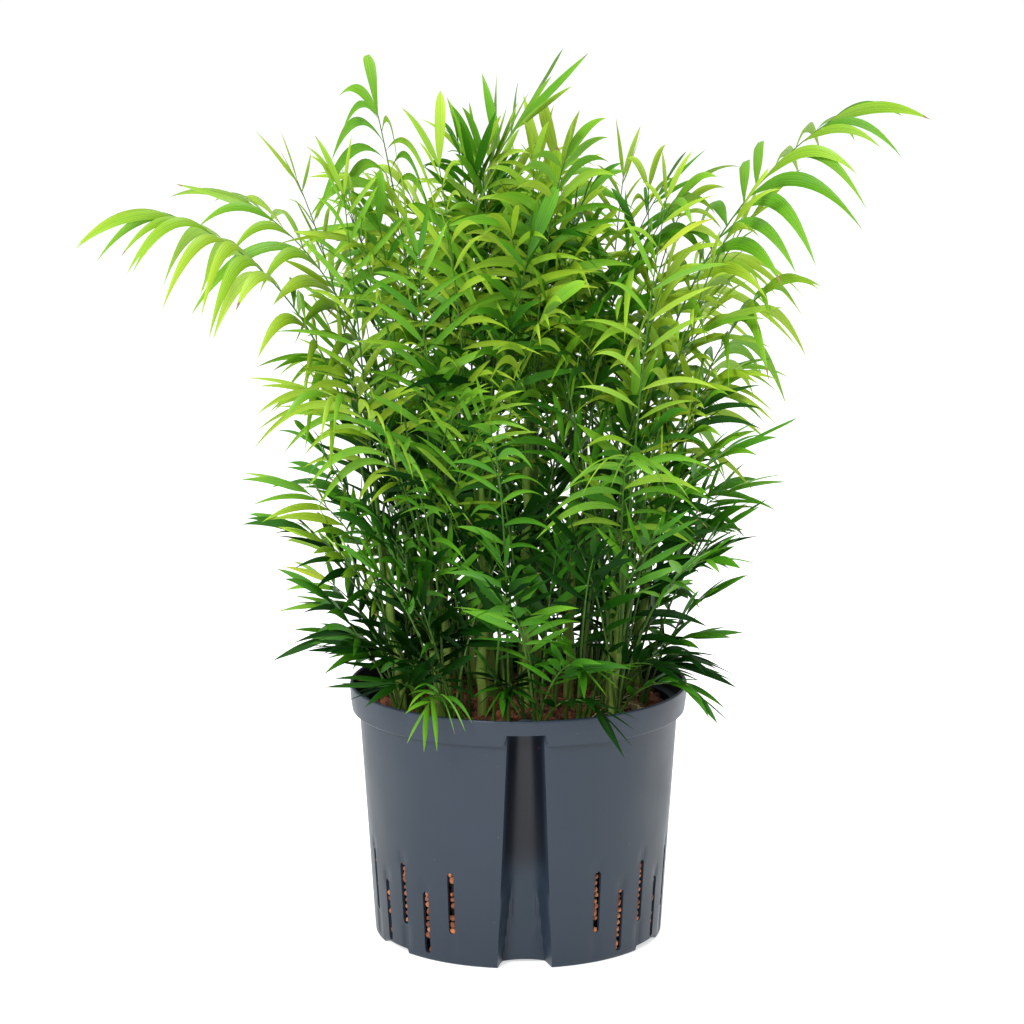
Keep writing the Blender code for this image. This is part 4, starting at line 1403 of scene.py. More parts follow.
            aim = along * cos(turn) + side * hand * sin(turn)
            length = frond.leaf * FROND.tip_leaf_share * chance.uniform(*self.length_range)
            blunt = hand == blunt_hand
            size = (length, length * wide * (self.blunt_width if blunt else self.tip_width),
                    frond.sag * (self.blunt_sag if blunt else FROND.tip_sag_share))
            blades.append(self.blade(frond, self.tip_place, aim, size, light, chance, float(blunt)))
        return blades

    def rib_line(self, frond: Frond) -> Track:
        """Work out a frond's rib, swollen where it leaves the stem and sunk where that is the clay.

        Args:
            frond: the frond.

        Returns:
            Its points and its radius at each.
        """
        shares = np.linspace(0.0, 1.0, self.rib_steps)
        slender = np.interp(shares, (0.0, frond.bare, 1.0), (self.rib_foot, self.rib_middle, self.rib_tip))
        radii = slender + self.base_swell * np.exp(-shares * frond.length / self.base_length)
        points = frond.rib(shares)
        if frond.foot is None and frond.stem.top == CLAY_TOP:
            points = np.vstack([points[0] - UP * self.sunk, points])
            radii = np.concatenate([radii[:1], radii])
        return points, radii


@dataclass(frozen=True)
class Foliage:
    """All fronds, grown as ribs and leaflets in a few groups."""

    palm: Palm = Palm()
    dresser: FrondDresser = FrondDresser()
    shape: LeafletShape = LeafletShape()
    tube: TubeShape = TubeShape(7)
    seed: int = 5

    @staticmethod
    def group_of(frond: Frond) -> str:
        """Return the group whose pieces hold a frond, by the solid that it belongs to."""
        side = "crowns_left" if frond.stem.x < 0 else "crowns_right"
        return "long" if frond.is_long else {"frond": "middle", "shoot": "shoots"}.get(frond.node[:5], side)

    def build(self) -> None:
        """Grow every group and hang its pieces on the frame."""
        materials = [material_of(finish) for finish in leaf_finishes()]
        leaf_tree = self.shape.tree(materials)
        rib_tree = self.tube.tree("ribs", material_of(RIB_GREEN))
        groups: dict[str, list[Frond]] = {}
        extra = self.palm.slender() + self.palm.undergrowth() + self.palm.skirts()
        extra += self.palm.stars() + self.palm.plumes()
        for frond in self.palm.settled() + extra:
            groups.setdefault(self.group_of(frond), []).append(frond)
        chance = Random(self.seed)
        for group, fronds in groups.items():
            nodes = sorted({frond.node for frond in fronds})
            blades = [blade for frond in fronds for blade in self.dresser.leaflets(frond, chance)]
            leaves = self.shape.grow(f"leaflets_{group}", blades, leaf_tree)
            place_piece(leaves, nodes)
            ribs = self.tube.sweep(f"ribs_{group}", [self.dresser.rib_line(f) for f in fronds], rib_tree)
            place_piece(ribs, nodes)


@dataclass(frozen=True)
class Canes:
    """The upright canes, ringed where old fronds have dropped."""

    tube: TubeShape = TubeShape(14)
    step: float = 0.0016
    ring_pitch: Span = (0.020, 0.034)
    ring_height: float = 0.0013
    ring_swell: float = 0.14
    sunk: float = 0.012
    wobble: float = 0.0010
    wobble_pitch: float = 0.050
    calm_foot: float = 0.03
    calm_top: float = 0.04
    first_ring: float = 0.5
    tip_rise: float = 0.012
    tip_share: float = 0.80
    seed: int = 17

    def line(self, cane: Stem, chance: Random) -> Track:
        """Work out one cane.

        Args:
            cane: where it stands.
            chance: the seeded source of its rings and its slight wave.

        Returns:
            Its points and its radius at each.
        """
        top = cane.top + self.tip_rise
        heights = np.arange(CLAY_TOP - self.sunk, top, self.step)
        rings, z = [], CLAY_TOP + chance.uniform(*self.ring_pitch) * self.first_ring
        while z < cane.top:
            rings.append(z)
            z += chance.uniform(*self.ring_pitch)
        phase = chance.uniform(0.0, tau)
        points, radii = [], []
        for z in heights:
            above = smooth_step(CLAY_TOP, CLAY_TOP + self.calm_foot, z)
            wave = self.wobble * (above * (1.0 - smooth_step(cane.top - self.calm_top, cane.top, z)))
            angle = phase + tau * z / self.wobble_pitch
            points.append(cane.at(z) + np.array((cos(angle), sin(angle), 0.0)) * wave)
            swell = sum(exp(-((z - ring) / self.ring_height) ** 2) for ring in rings)
            share = min(max((z - CLAY_TOP) / (cane.top - CLAY_TOP), 0.0), 1.0)
            radius = blend(CANE.foot_radius, CANE.top_radius, share)
            narrow = blend(1.0, self.tip_share, smooth_step(cane.top, top, z))
            radii.append(radius * narrow * (1.0 + self.ring_swell * swell))
        return np.array(points), np.array(radii)

    def build(self) -> None:
        """Sweep the canes and hang them on the frame."""
        chance = Random(self.seed)
        tree = self.tube.tree("canes", material_of(CANE_GREEN))
        piece = self.tube.sweep("canes", [self.line(cane, chance) for cane in CANES], tree)
        place_piece(piece, [f"cane_{index + 1:02d}" for index in range(len(CANES))])


# Pot


@dataclass(frozen=True)
class Channel:
    """The gauge channel down the front of the pot."""

    depth: float = 0.0160
    top_width: float = 0.0270
    foot_width: float = 0.0400
    cut_into_band: float = 0.0088
    facet_height: float = 0.0620
    wall_share: Span = (0.06, 0.44)
    foot_lift: float = 0.0020
    tongue_share: float = 0.56
    tongue_depth: float = 0.0012
    tongue_end: float = 0.0200
    tongue_bow: float = 0.0100
    tongue_edge: float = 0.10
    tongue_step: float = 0.0040
    hollow_powers: Span = (2.6, 0.62)
    facet_blend: Span = (-0.010, 0.006)
    shoulder: Span = (0.98, 1.16)
    shade_edge: float = 0.80
    shade_blend: Span = (-0.004, 0.030)
    places: tuple[float, ...] = (1.30, 1.16, 1.06, 1.0, 0.96, 0.90, 0.84, 0.77, 0.70, 0.62, 0.56, 0.50, 0.42,
                                 0.33, 0.22, 0.11)

    def half_width(self, z: float, body_height: float) -> float:
        """Return half the channel's width at a height."""
        return blend(self.foot_width, self.top_width, min(z / body_height, 1.0)) / 2

    def inward(self, place: float, z: float) -> float:
        """Find how far the wall is drawn in.

        Args:
            place: the place across the channel, 1 at its edge.
            z: the height.

        Returns:
            The depth below the round wall.
        """
        place = min(abs(place), 1.0)
        hollow = (1.0 - place ** self.hollow_powers[0]) ** self.hollow_powers[1]
        wall = blend(*self.wall_share, min(z / self.facet_height, 1.0))
        flat = smooth_step(0.0, 1.0, (1.0 - place) / wall)
        low = 1.0 - self.above_facets(z, self.facet_blend)
        depth = self.depth * blend(hollow, flat, low)
        end = self.tongue_end + self.tongue_bow * (place / self.tongue_share) ** 2
        in_tongue = 1.0 - smooth_step(self.tongue_share - self.tongue_edge, self.tongue_share, place)
        return depth + self.tongue_depth * in_tongue * smooth_step(end, end + self.tongue_step, z) * low

    def above_facets(self, z: float, edges: Span) -> float:
        """Return 0 below the channel's facets and 1 above them, rising between two edges."""
        return smooth_step(self.facet_height + edges[0], self.facet_height + edges[1], z)


@dataclass(frozen=True)
class Slots:
    """Upright slots round the foot of the wall, high and low in turn, with a faint groove in line."""

    count: int = 27
    first: float = 28.9
    width: float = 0.0052
    length: float = 0.0470
    high_foot: float = 0.0230
    low_foot: float = 0.0052
    groove_depth: float = 0.0005
    groove_run: float = 0.0100
    groove_edge: Span = (0.9, 1.3)
    groove_end: float = 0.0020
    groove_foot: Span = (0.0020, 0.0060)
    groove_fade: float = 0.3
    edge_places: tuple[float, ...] = (-1.30, -1.0, -0.5, 0.0, 0.5, 1.0, 1.30)
    end_steps: int = 8

    @property
    def pitch(self) -> float:
        """Return the angle from one slot to the next."""
        return (360.0 - 2 * self.first) / (self.count - 1)

    def foot(self, index: int) -> float:
        """Return the height at which a slot starts."""
        return self.low_foot if index % 2 else self.high_foot

    def groove(self, index: int, place: float, z: float) -> float:
        """Find the depth of the moulded groove that carries a slot's line on.

        Args:
            index: the slot.
            place: the place across it, 1 at its edge.
            z: the height.

        Returns:
            The depth.
        """
        across = 1.0 - smooth_step(*self.groove_edge, abs(place))
        foot, top = self.foot(index), self.foot(index) + self.length
        fading = smooth_step(top + self.groove_fade * self.groove_run, top + self.groove_run, z)
        above = smooth_step(top - self.groove_end, top, z) * (1.0 - fading)
        below = (1.0 - smooth_step(foot, foot + self.groove_end, z)) * smooth_step(*self.groove_foot, z)
        return self.groove_depth * across * max(below if index % 2 == 0 else 0.0, above)


@dataclass(frozen=True)
class Catch:
    """The small catch inside the rim, over the channel."""

    width: float = 0.0110
    depth: float = 0.0030
    height: float = 0.0070
    under_rim: float = 0.0006
    bow: float = 0.0011
    slant: float = 0.0020
    sunk: Span = (0.0006, 0.0002)
    steps: int = 9
    softened: float = 0.0004

    def build(self, pot: "Pot", material: Material) -> Object:
        """Make the catch.

        Args:
            pot: the pot that it is part of.
            material: the plastic.

        Returns:
            The piece.
        """
        inner = pot.rim_radius - pot.wall
        rings = []
        for k in range(self.steps):
            across = blend(-1.0, 1.0, k / (self.steps - 1))
            angle = degrees(across * self.width / 2 / inner)
            rise = self.bow * sqrt(max(1.0 - across * across, 0.0))
            low, high = pot.height - self.height, pot.height - self.under_rim + rise
            rings.append([pot.polar(radius, angle, z) for radius, z in (
                (inner + self.sunk[0], low), (inner - self.depth, low + self.slant),
                (inner - self.depth, high), (inner + self.sunk[1], high))])
        piece = mesh_piece("pot_catch", *loft(rings), material)
        bevel = piece.modifiers.new("soften", "BEVEL")
        bevel.width, bevel.segments = self.softened, 2
        return piece


@dataclass(frozen=True)
class Pot:
    """The tapered pot with its rolled band, gauge channel, slots and the notches in its foot."""

    rim_radius: float = 0.1250
    band_foot_radius: float = 0.1232
    band_foot: float = 0.1700
    band_setback: float = 0.0006
    body_top_radius: float = 0.1180
    foot_radius: float = 0.1067
    wall: float = 0.0024
    floor: float = 0.0030
    lip: float = 0.0008
    notch_angles: tuple[float, ...] = (61.0, 119.0, 241.0, 299.0)
    notch_half_angle: float = 9.0
    notch_height: float = 0.0030
    notch_depth: float = 0.0090
    foot_round: float = 0.0012
    ring_pitch: float = 0.0040
    sharp_angle: float = 32.0
    rings_below_ledge: int = 17
    rings_above_ledge: int = 2
    foot_levels: tuple[Span, ...] = ((0.0, 1.0), (0.0004, 0.3))
    body_levels: Span = (0.004, 0.001)
    hairline: float = 0.0002
    band_edge: float = 0.0008
    band_levels: tuple[float, ...] = (0.45, 0.60, 0.75, 0.90)
    band_step: Span = (0.55, 0.02)
    lip_turns: tuple[float, ...] = (0, 30, 60, 90, 120, 150, 180)
    lip_stretch: float = 1.5
    inner_band: float = 0.010
    inner_levels: tuple[float, float, int] = (0.006, 0.001, 14)
    far_place: float = 9.0
    slot_middle: float = 0.04
    bar_reach: Span = (-0.012, 0.004)
    channel: Channel = Channel()
    slots: Slots = Slots()
    catch: Catch = Catch()

    @cached_property
    def height(self) -> float:
        """Return the pot's height, from its solid."""
        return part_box("pot")[1][2]

    @staticmethod
    def polar(radius: float, angle: float, z: float) -> Point:
        """Return a point, with its angle in degrees from the channel's middle."""
        return tuple(compass(angle - 90.0, radius) + UP * z)

    def body_radius(self, z: float) -> float:
        """Return the outer radius of the tapered body at a height."""
        return blend(self.foot_radius, self.body_top_radius, z / self.band_foot)

    def inner_radius(self, z: float) -> float:
        """Return the radius of the body's inner face at a height."""
        return self.body_radius(z) - self.wall

    def between(self, start: float, end: float, parts: int) -> list[tuple[float, float, int, float]]:
        """Return the plain columns that part the wall evenly between two angles, as stations does."""
        return [(blend(start, end, k / parts), self.far_place, -1, 0.0) for k in range(1, parts)]

    def stations(self, z: float, grow: float) -> list[tuple[float, float, int, float]]:
        """List the columns of points round the wall.

        Args:
            z: the height.
            grow: how much wider the channel is, for the inner wall that runs round it.

        Returns:
            For each column its angle, its place across the channel, its slot or -1, and its place
            across that slot.
        """
        height = min(z, self.band_foot)
        half = self.channel.half_width(height, self.band_foot) + grow
        half, places = degrees(half / self.body_radius(height)), self.channel.places
        columns = [(-place * half, place, -1, 0.0) for place in places] + [(0.0, 0.0, -1, 0.0)]
        columns += [(place * half, place, -1, 0.0) for place in reversed(places)]
        last = columns[-1][0]
        slots = self.slots
        half_slot = degrees(slots.width / 2 / self.body_radius(self.slot_middle))
        first_edge = slots.first + slots.edge_places[0] * half_slot
        columns += self.between(last, first_edge, 4)
        for index in range(slots.count):
            middle = slots.first + slots.pitch * index
            columns += [(middle + place * half_slot, self.far_place, index, place)
                        for place in slots.edge_places]
            if index < slots.count - 1:
                edge = middle + slots.edge_places[-1] * half_slot
                columns += self.between(edge, middle + slots.pitch + slots.edge_places[0] * half_slot, 3)
        return columns + self.between(360.0 - first_edge, 360.0 - last, 4)

    def ring(self, z: float, radius: Union[float, Callable[[float], float]], grow: float = 0.0,
             channelled: bool = True, grooved: bool = False, notched: bool = False,
             raised: float = 0.0) -> list[Point]:
        """Make one ring of points round the pot.

        Args:
            z: the height.
            radius: the round wall's radius, or the rule that gives it for a height.
            grow: as for stations.
            channelled: whether the wall is drawn in at the channel.
            grooved: whether the slots' grooves are pressed into it.
            notched: whether the standing edge's notches lift it.
            raised: how far it rises over the channel.

        Returns:
            The points.
        """
        points = []
        for angle, place, slot, beside in self.stations(z, grow):
            height = z + raised * (1.0 - smooth_step(*self.channel.shoulder, place))
            reach = radius(height) if callable(radius) else radius
            if channelled:
                reach -= self.channel.inward(place, z) if place < 1.0 else 0.0
            if grooved and slot >= 0:
                reach -= self.slots.groove(slot, beside, z)
            if notched and any(abs((angle - m + 180) % 360 - 180) < self.notch_half_angle
                               for m in self.notch_angles):
                height += self.notch_height
            if notched and place < 1.0:
                height += self.channel.foot_lift * (1.0 - place * place)
            points.append(self.polar(reach, angle, height))
        return points

    def band_radius(self, z: float) -> float:
        """Return the band's radius at a height, which curves out towards the rim."""
        share = min(max((z - self.band_foot) / (self.height - self.band_foot), 0.0), 1.0)
        return self.band_foot_radius + (self.rim_radius - self.band_foot_radius) * (1.0 - (1.0 - share) ** 2)

    def wall_rings(self) -> list[list[Point]]:
        """Return the rings of the whole shell, from the underside up the outside and down the inside."""
        wall, band, top = self.wall, self.band_foot, self.height
        cut, inset = self.channel.cut_into_band, self.foot_radius - self.notch_depth
        rings = [self.ring(0.0, inset), self.ring(0.0, inset + self.hairline, notched=True)]
        rings += [self.ring(z, self.foot_radius - share * self.foot_round, notched=True)
                  for z, share in self.foot_levels]
        rings.append(self.ring(self.foot_round, self.body_radius, notched=True))
        levels = np.linspace(self.body_levels[0], band - self.body_levels[1], int(band / self.ring_pitch))
        rings += [self.ring(z, self.body_radius, grooved=True) for z in levels]
        rings += [
            self.ring(band, self.body_top_radius, raised=cut),
            self.ring(band - self.hairline, self.band_foot_radius - self.band_edge, channelled=False,
                      raised=cut),
            self.ring(band + self.band_setback, self.band_radius, channelled=False, raised=cut)]
        end, rise = self.band_step
        rings += [self.ring(blend(band, top, share), self.band_radius, channelled=False,
                            raised=max(0.0, end - share) * rise) for share in self.band_levels]
        for turn in self.lip_turns:
            bent, lip = radians(turn), self.lip * self.lip_stretch
            edge = self.rim_radius - wall / 2 + wall / 2 * cos(bent)
            rings.append(self.ring(top - lip + lip * sin(bent), edge, channelled=False))
        rings += [
            self.ring(band + self.inner_band, lambda z: self.band_radius(z) - wall, channelled=False),
            self.ring(band + wall, self.band_foot_radius - wall, wall, channelled=False, raised=cut),
            self.ring(band + wall / 2, self.body_top_radius - wall, wall, raised=cut)]
        drop, lift, count = self.inner_levels
        floor = self.floor + self.notch_height
        for z in (*np.linspace(band - drop, floor + lift, count), floor):
            rings.append(self.ring(z, self.inner_radius, wall))
        return rings

    def cutter(self, material: Material) -> Object:
        """Make the round-ended bars that cut the slots.

        Args:
            material: the plastic.

        Returns:
            The bars, as one piece.
        """
        slots, radius = self.slots, self.slots.width / 2
        verts: list[Point] = []
        faces: list[Sequence[int]] = []
        for index in range(slots.count):
            foot, outline = slots.foot(index), []
            for middle, start in ((foot + slots.length - radius, 0.0), (foot + radius, pi)):
                for step in range(slots.end_steps + 1):
                    arc = start + pi * step / slots.end_steps
                    outline.append((radius * cos(arc), middle + radius * sin(arc)))
            outward = compass(slots.first + slots.pitch * index - 90.0)
            sideways = np.cross(UP, outward)
            reaches = (self.foot_radius + self.bar_reach[0], self.body_top_radius + self.bar_reach[1])
            bar = loft([[outward * reach + sideways * u + UP * z for u, z in outline] for reach in reaches],
                       len(verts))
            verts += bar[0]
            faces += bar[1]
        return mesh_piece("slot_bars", verts, faces, material)

    def shell(self, material: Material, inside: Material) -> Object:
        """Make the pot's wall and floor, with its slots cut.

        Args:
            material: the plastic.
            inside: the darker plastic that paints shade on its inner face.

        Returns:
            The piece.
        """
        rings = self.wall_rings()
        count = len(rings[0])
        pot = mesh_piece("pot_shell", *loft(rings), material)
        pot.data.materials.append(inside)
        # The inner faces of the wall, all but the ledge, take the second, darker plastic: painted shade on
        # the inside of the wall.
        ledge = len(rings) - self.rings_below_ledge
        for level in range(ledge - self.rings_above_ledge, len(rings) - 1):
            for k in range(count if level != ledge else 0):
                pot.data.polygons[2 + level * count + k].material_index = 1
        bars = self.cutter(material)
        cut = pot.modifiers.new("slots", "BOOLEAN")
        cut.operation, cut.solver, cut.object = "DIFFERENCE", "EXACT", bars
        settle(pot)
        bpy.data.objects.remove(bars, do_unlink=True)
        pot.data.shade_smooth()
        pot.data.set_sharp_from_angle(angle=radians(self.sharp_angle))
        # The hollow attribute carries the painted shade of the channel's upper hollow.
        store(pot.data, "hollow", [self.hollow(vertex.co) for vertex in pot.data.vertices])
        return pot

    def hollow(self, point: Vector) -> float:
        """Find how much painted shade darkens the plastic in the channel's round upper hollow.

        Args:
            point: a point of the shell.

        Returns:
            0 on the open wall and 1 deep in the hollow.
        """
        if point.z > self.band_foot + self.channel.cut_into_band or point.y > 0.0:
            return 0.0
        half = self.channel.half_width(point.z, self.band_foot)
        across = 1.0 - smooth_step(self.channel.shade_edge, 1.0, abs(point.x) / half)
        return across * self.channel.above_facets(point.z, self.channel.shade_blend)

    def build(self) -> None:
        """Make the pot and hang it on the frame."""
        plastic = material_of(POT_PLASTIC)
        place_piece(self.shell(plastic, material_of(POT_INSIDE_PAINTED_SHADE)), ["pot"])
        place_piece(self.catch.build(self, plastic))


@dataclass(frozen=True)
class GranuleShape:
    """Geometry nodes that set a rough rounded stone on each seed point."""

    roundness: float = 0.72
    roughness: float = 0.55
    lump_scale: float = 210.0
    block: float = 1.4
    block_points: int = 3
    least: Colour = (0.8, 0.8, 0.62)
    most: Colour = (1.25, 1.15, 1.0)

    def tree(self, label: str, material: Material) -> NodeTree:
        """Build the node group.

        Args:
            label: which granules these are.
            material: their finish.

        Returns:
            The geometry node group.
        """
        net, given = new_tree("scatter_" + label, {"Roundness": 0.7, "Roughness": 0.5, "Lump scale": 200.0,
                                                   "Seed": 3})
        block = net.get("GeometryNodeMeshCube", {"Size": (self.block,) * 3} | {
            "Vertices " + axis: self.block_points for axis in "XYZ"}, "Mesh")
        spot = net.get("GeometryNodeInputPosition")
        rounder = net.get("ShaderNodeMix", {"Factor": given["Roundness"], "A": spot,
                                            "B": net.vector("NORMALIZE", spot)}, "Result", data_type="VECTOR")
        stone = net.get("GeometryNodeSetPosition", {"Geometry": block, "Position": rounder})
        turn, stretch = (net.get("FunctionNodeRandomValue", {"Min": low, "Max": high, "Seed": given["Seed"]},
                                 data_type="FLOAT_VECTOR")
                         for low, high in (((0.0,) * 3, (tau,) * 3), (self.least, self.most)))
        spread = net.get("GeometryNodeInstanceOnPoints", {
            "Points": given["Geometry"], "Instance": stone, "Rotation": turn,
            "Scale": net.scaled(stretch, net.stored("size"))})
        real = net.get("GeometryNodeRealizeInstances", {"Geometry": spread})
        lumps = net.noise(spot, given["Lump scale"], 2.0, out="Color")
        amount = net.math("MULTIPLY", given["Roughness"], net.stored("size"))
        shift = net.scaled(net.vector("SUBTRACT", lumps, (0.5, 0.5, 0.5)), net.math("MULTIPLY", amount, 2.0))
        rough = net.get("GeometryNodeSetPosition", {"Geometry": real, "Offset": shift})
        net.add("NodeGroupOutput", {"Geometry": net.get(
            "GeometryNodeSetMaterial", {"Geometry": rough, "Material": material})})
        return net.tree

    def scatter(self, label: str, spots: Sequence[tuple[Point, float, float]],
                material: Material) -> Object:
        """Set a granule on each spot.

        Args:
            label: which granules these are.
            spots: for each granule its place, its radius and its shade.
            material: their finish.

        Returns:
            The piece.
        """
        name = "clay_" + label
        places, sizes, shades = zip(*spots)
        seed = seed_mesh(name, places, {"size": sizes, "shade": shades})
        inputs = {"Roundness": self.roundness, "Roughness": self.roughness, "Lump scale": self.lump_scale}
        return grow_piece(name, seed, self.tree(label, material), inputs, ("shade",))


@dataclass(frozen=True)
class ClayFill:
    """The clay in the pot: a bed, dark as painted shade in the gaps between the granules, loose granules over
    it and pellets behind the slots.
    """

    pot: Pot
    margin: float = 0.0008
    pellet_room: float = 0.0045
    top_pitch: float = 0.0058
    top_size: Span = (0.0022, 0.0056)
    heap: float = 0.0030
    pellet_pitch: float = 0.0050
    pellet_size: Span = (0.0019, 0.0029)
    pellet_sunk: Span = (-0.0002, 0.0011)
    missing: float = 0.06
    chunks: tuple[tuple[float, float, float], ...] = ((-0.098, -0.016, 0.0085), (-0.090, -0.034, 0.0070),
                                                      (0.030, -0.094, 0.0062), (-0.022, -0.098, 0.0056))
    bed_levels: tuple[float, float, int] = (0.02, 0.004, 8)
    bed_top: Span = (0.001, 0.002)
    bed_shares: tuple[float, ...] = (0.97, 0.75, 0.5, 0.25)
    wall_room: float = 1.1
    top_spread: float = 0.24
    top_jitter: Span = (-0.0018, 0.0018)
    row_share: float = 0.88
    heap_waves: tuple[float, ...] = (38.0, 1.3, 31.0, 0.4)
    top_sunk: float = 0.35
    top_shade: Span = (0.05, 0.95)
    shade_power: float = 1.3
    chunk_rise: float = 0.3
    chunk_shade: float = 0.5
    first_pellet: Span = (0.0015, 0.004)
    last_pellet: float = 0.001
    pellet_aside: Span = (-0.0007, 0.0007)
    pellet_shade: Span = (0.1, 1.0)
    pellet_step: Span = (0.74, 1.20)
    top_seed: int = 41
    slot_seed: int = 43

    def bed_radius(self, z: float) -> float:
        """Return the bed's radius at a height, which leaves room for the pellets at the wall."""
        return self.pot.body_radius(z) - self.pot.wall - self.margin - self.pellet_room

    def bed(self) -> Object:
        """Return the bed that fills the pot to just under its ledge."""
        pot, grow = self.pot, self.pot.wall + self.margin
        foot, drop, count = self.bed_levels
        heights = (pot.floor + pot.notch_height + CLEARANCE, *np.linspace(foot, CLAY_TOP - drop, count))
        rings = [pot.ring(z, self.bed_radius, grow) for z in heights]
        middle, edge = UP * (CLAY_TOP - self.bed_top[0]), np.array(rings[-1])
        edge[:, 2] = CLAY_TOP - self.bed_top[1]
        rings += [middle + (edge - middle) * share for share in self.bed_shares]
        # The bed's dark clay is painted shade for the gaps between the loose granules.
        return mesh_piece("clay_bed", *loft(rings), material_of(CLAY_BED_PAINTED_SHADE))

    def inside_pot(self, x: float, y: float, size: float) -> bool:
        """Test a granule on the fill.

        Args:
            x: its place to the side.
            y: its place to the back.
            size: its radius.

        Returns:
            Whether it stays clear of the wall and the channel.
        """
        pot = self.pot
        reach = hypot(x, y)
        angle = (degrees(atan2(y, x)) + 90.0 + 180.0) % 360.0 - 180.0
        half = pot.channel.half_width(CLAY_TOP, pot.band_foot) + pot.wall
        place = abs(radians(angle) * pot.body_radius(CLAY_TOP)) / half
        drawn_in = pot.channel.inward(place, CLAY_TOP) if place < 1.0 else 0.0
        return reach + size * self.wall_room < pot.inner_radius(CLAY_TOP) - drawn_in

    def loose(self) -> Object:
        """Return the granules that lie on the bed."""
        chance = Random(self.top_seed)
        spots = []
        half = int(self.top_spread / self.top_pitch)
        across, ahead, along, beyond = self.heap_waves
        for row in range(-half // 2, half // 2 + 1):
            for column in range(-half // 2, half // 2 + 1):
                x = (column + 0.5 * (row % 2)) * self.top_pitch + chance.uniform(*self.top_jitter)
                y = row * self.top_pitch * self.row_share + chance.uniform(*self.top_jitter)
                size = chance.uniform(*self.top_size)
                if self.inside_pot(x, y, size):
                    wave = sin(across * x + ahead) * cos(along * y + beyond)
                    z = CLAY_TOP + self.heap * (0.5 + 0.5 * wave) - size * self.top_sunk
                    spots.append(((x, y, z), size, chance.uniform(*self.top_shade) ** self.shade_power))
        spots += [((x, y, CLAY_TOP + self.chunk_rise * size), size, self.chunk_shade)
                  for x, y, size in self.chunks]
        return GranuleShape().scatter("loose", spots, material_of(CLAY_LOOSE))

    def pellets(self) -> Object:
        """Return the pellets that show in the slots."""
        chance = Random(self.slot_seed)
        slots, spots = self.pot.slots, []
        for index in range(slots.count):
            angle, foot = slots.first + slots.pitch * index, slots.foot(index)
            z = foot + chance.uniform(*self.first_pellet)
            while z < foot + slots.length + self.last_pellet:
                size = chance.uniform(*self.pellet_size)
                if chance.random() > self.missing:
                    radius = self.pot.body_radius(z) - size - chance.uniform(*self.pellet_sunk)
                    aside = degrees(chance.uniform(*self.pellet_aside) / radius)
                    place = self.pot.polar(radius, angle + aside, z)
                    spots.append((place, size, chance.uniform(*self.pellet_shade)))
                z += self.pellet_pitch * chance.uniform(*self.pellet_step)
        shape = GranuleShape(roundness=0.90, roughness=0.40, lump_scale=330.0)
        return shape.scatter("pellets", spots, material_of(CLAY_PELLET))

    def build(self) -> None:
        """Make the fill and hang it on the frame."""
        place_piece(self.bed(), ["clay_granules"])
        place_piece(self.loose())
        place_piece(self.pellets())


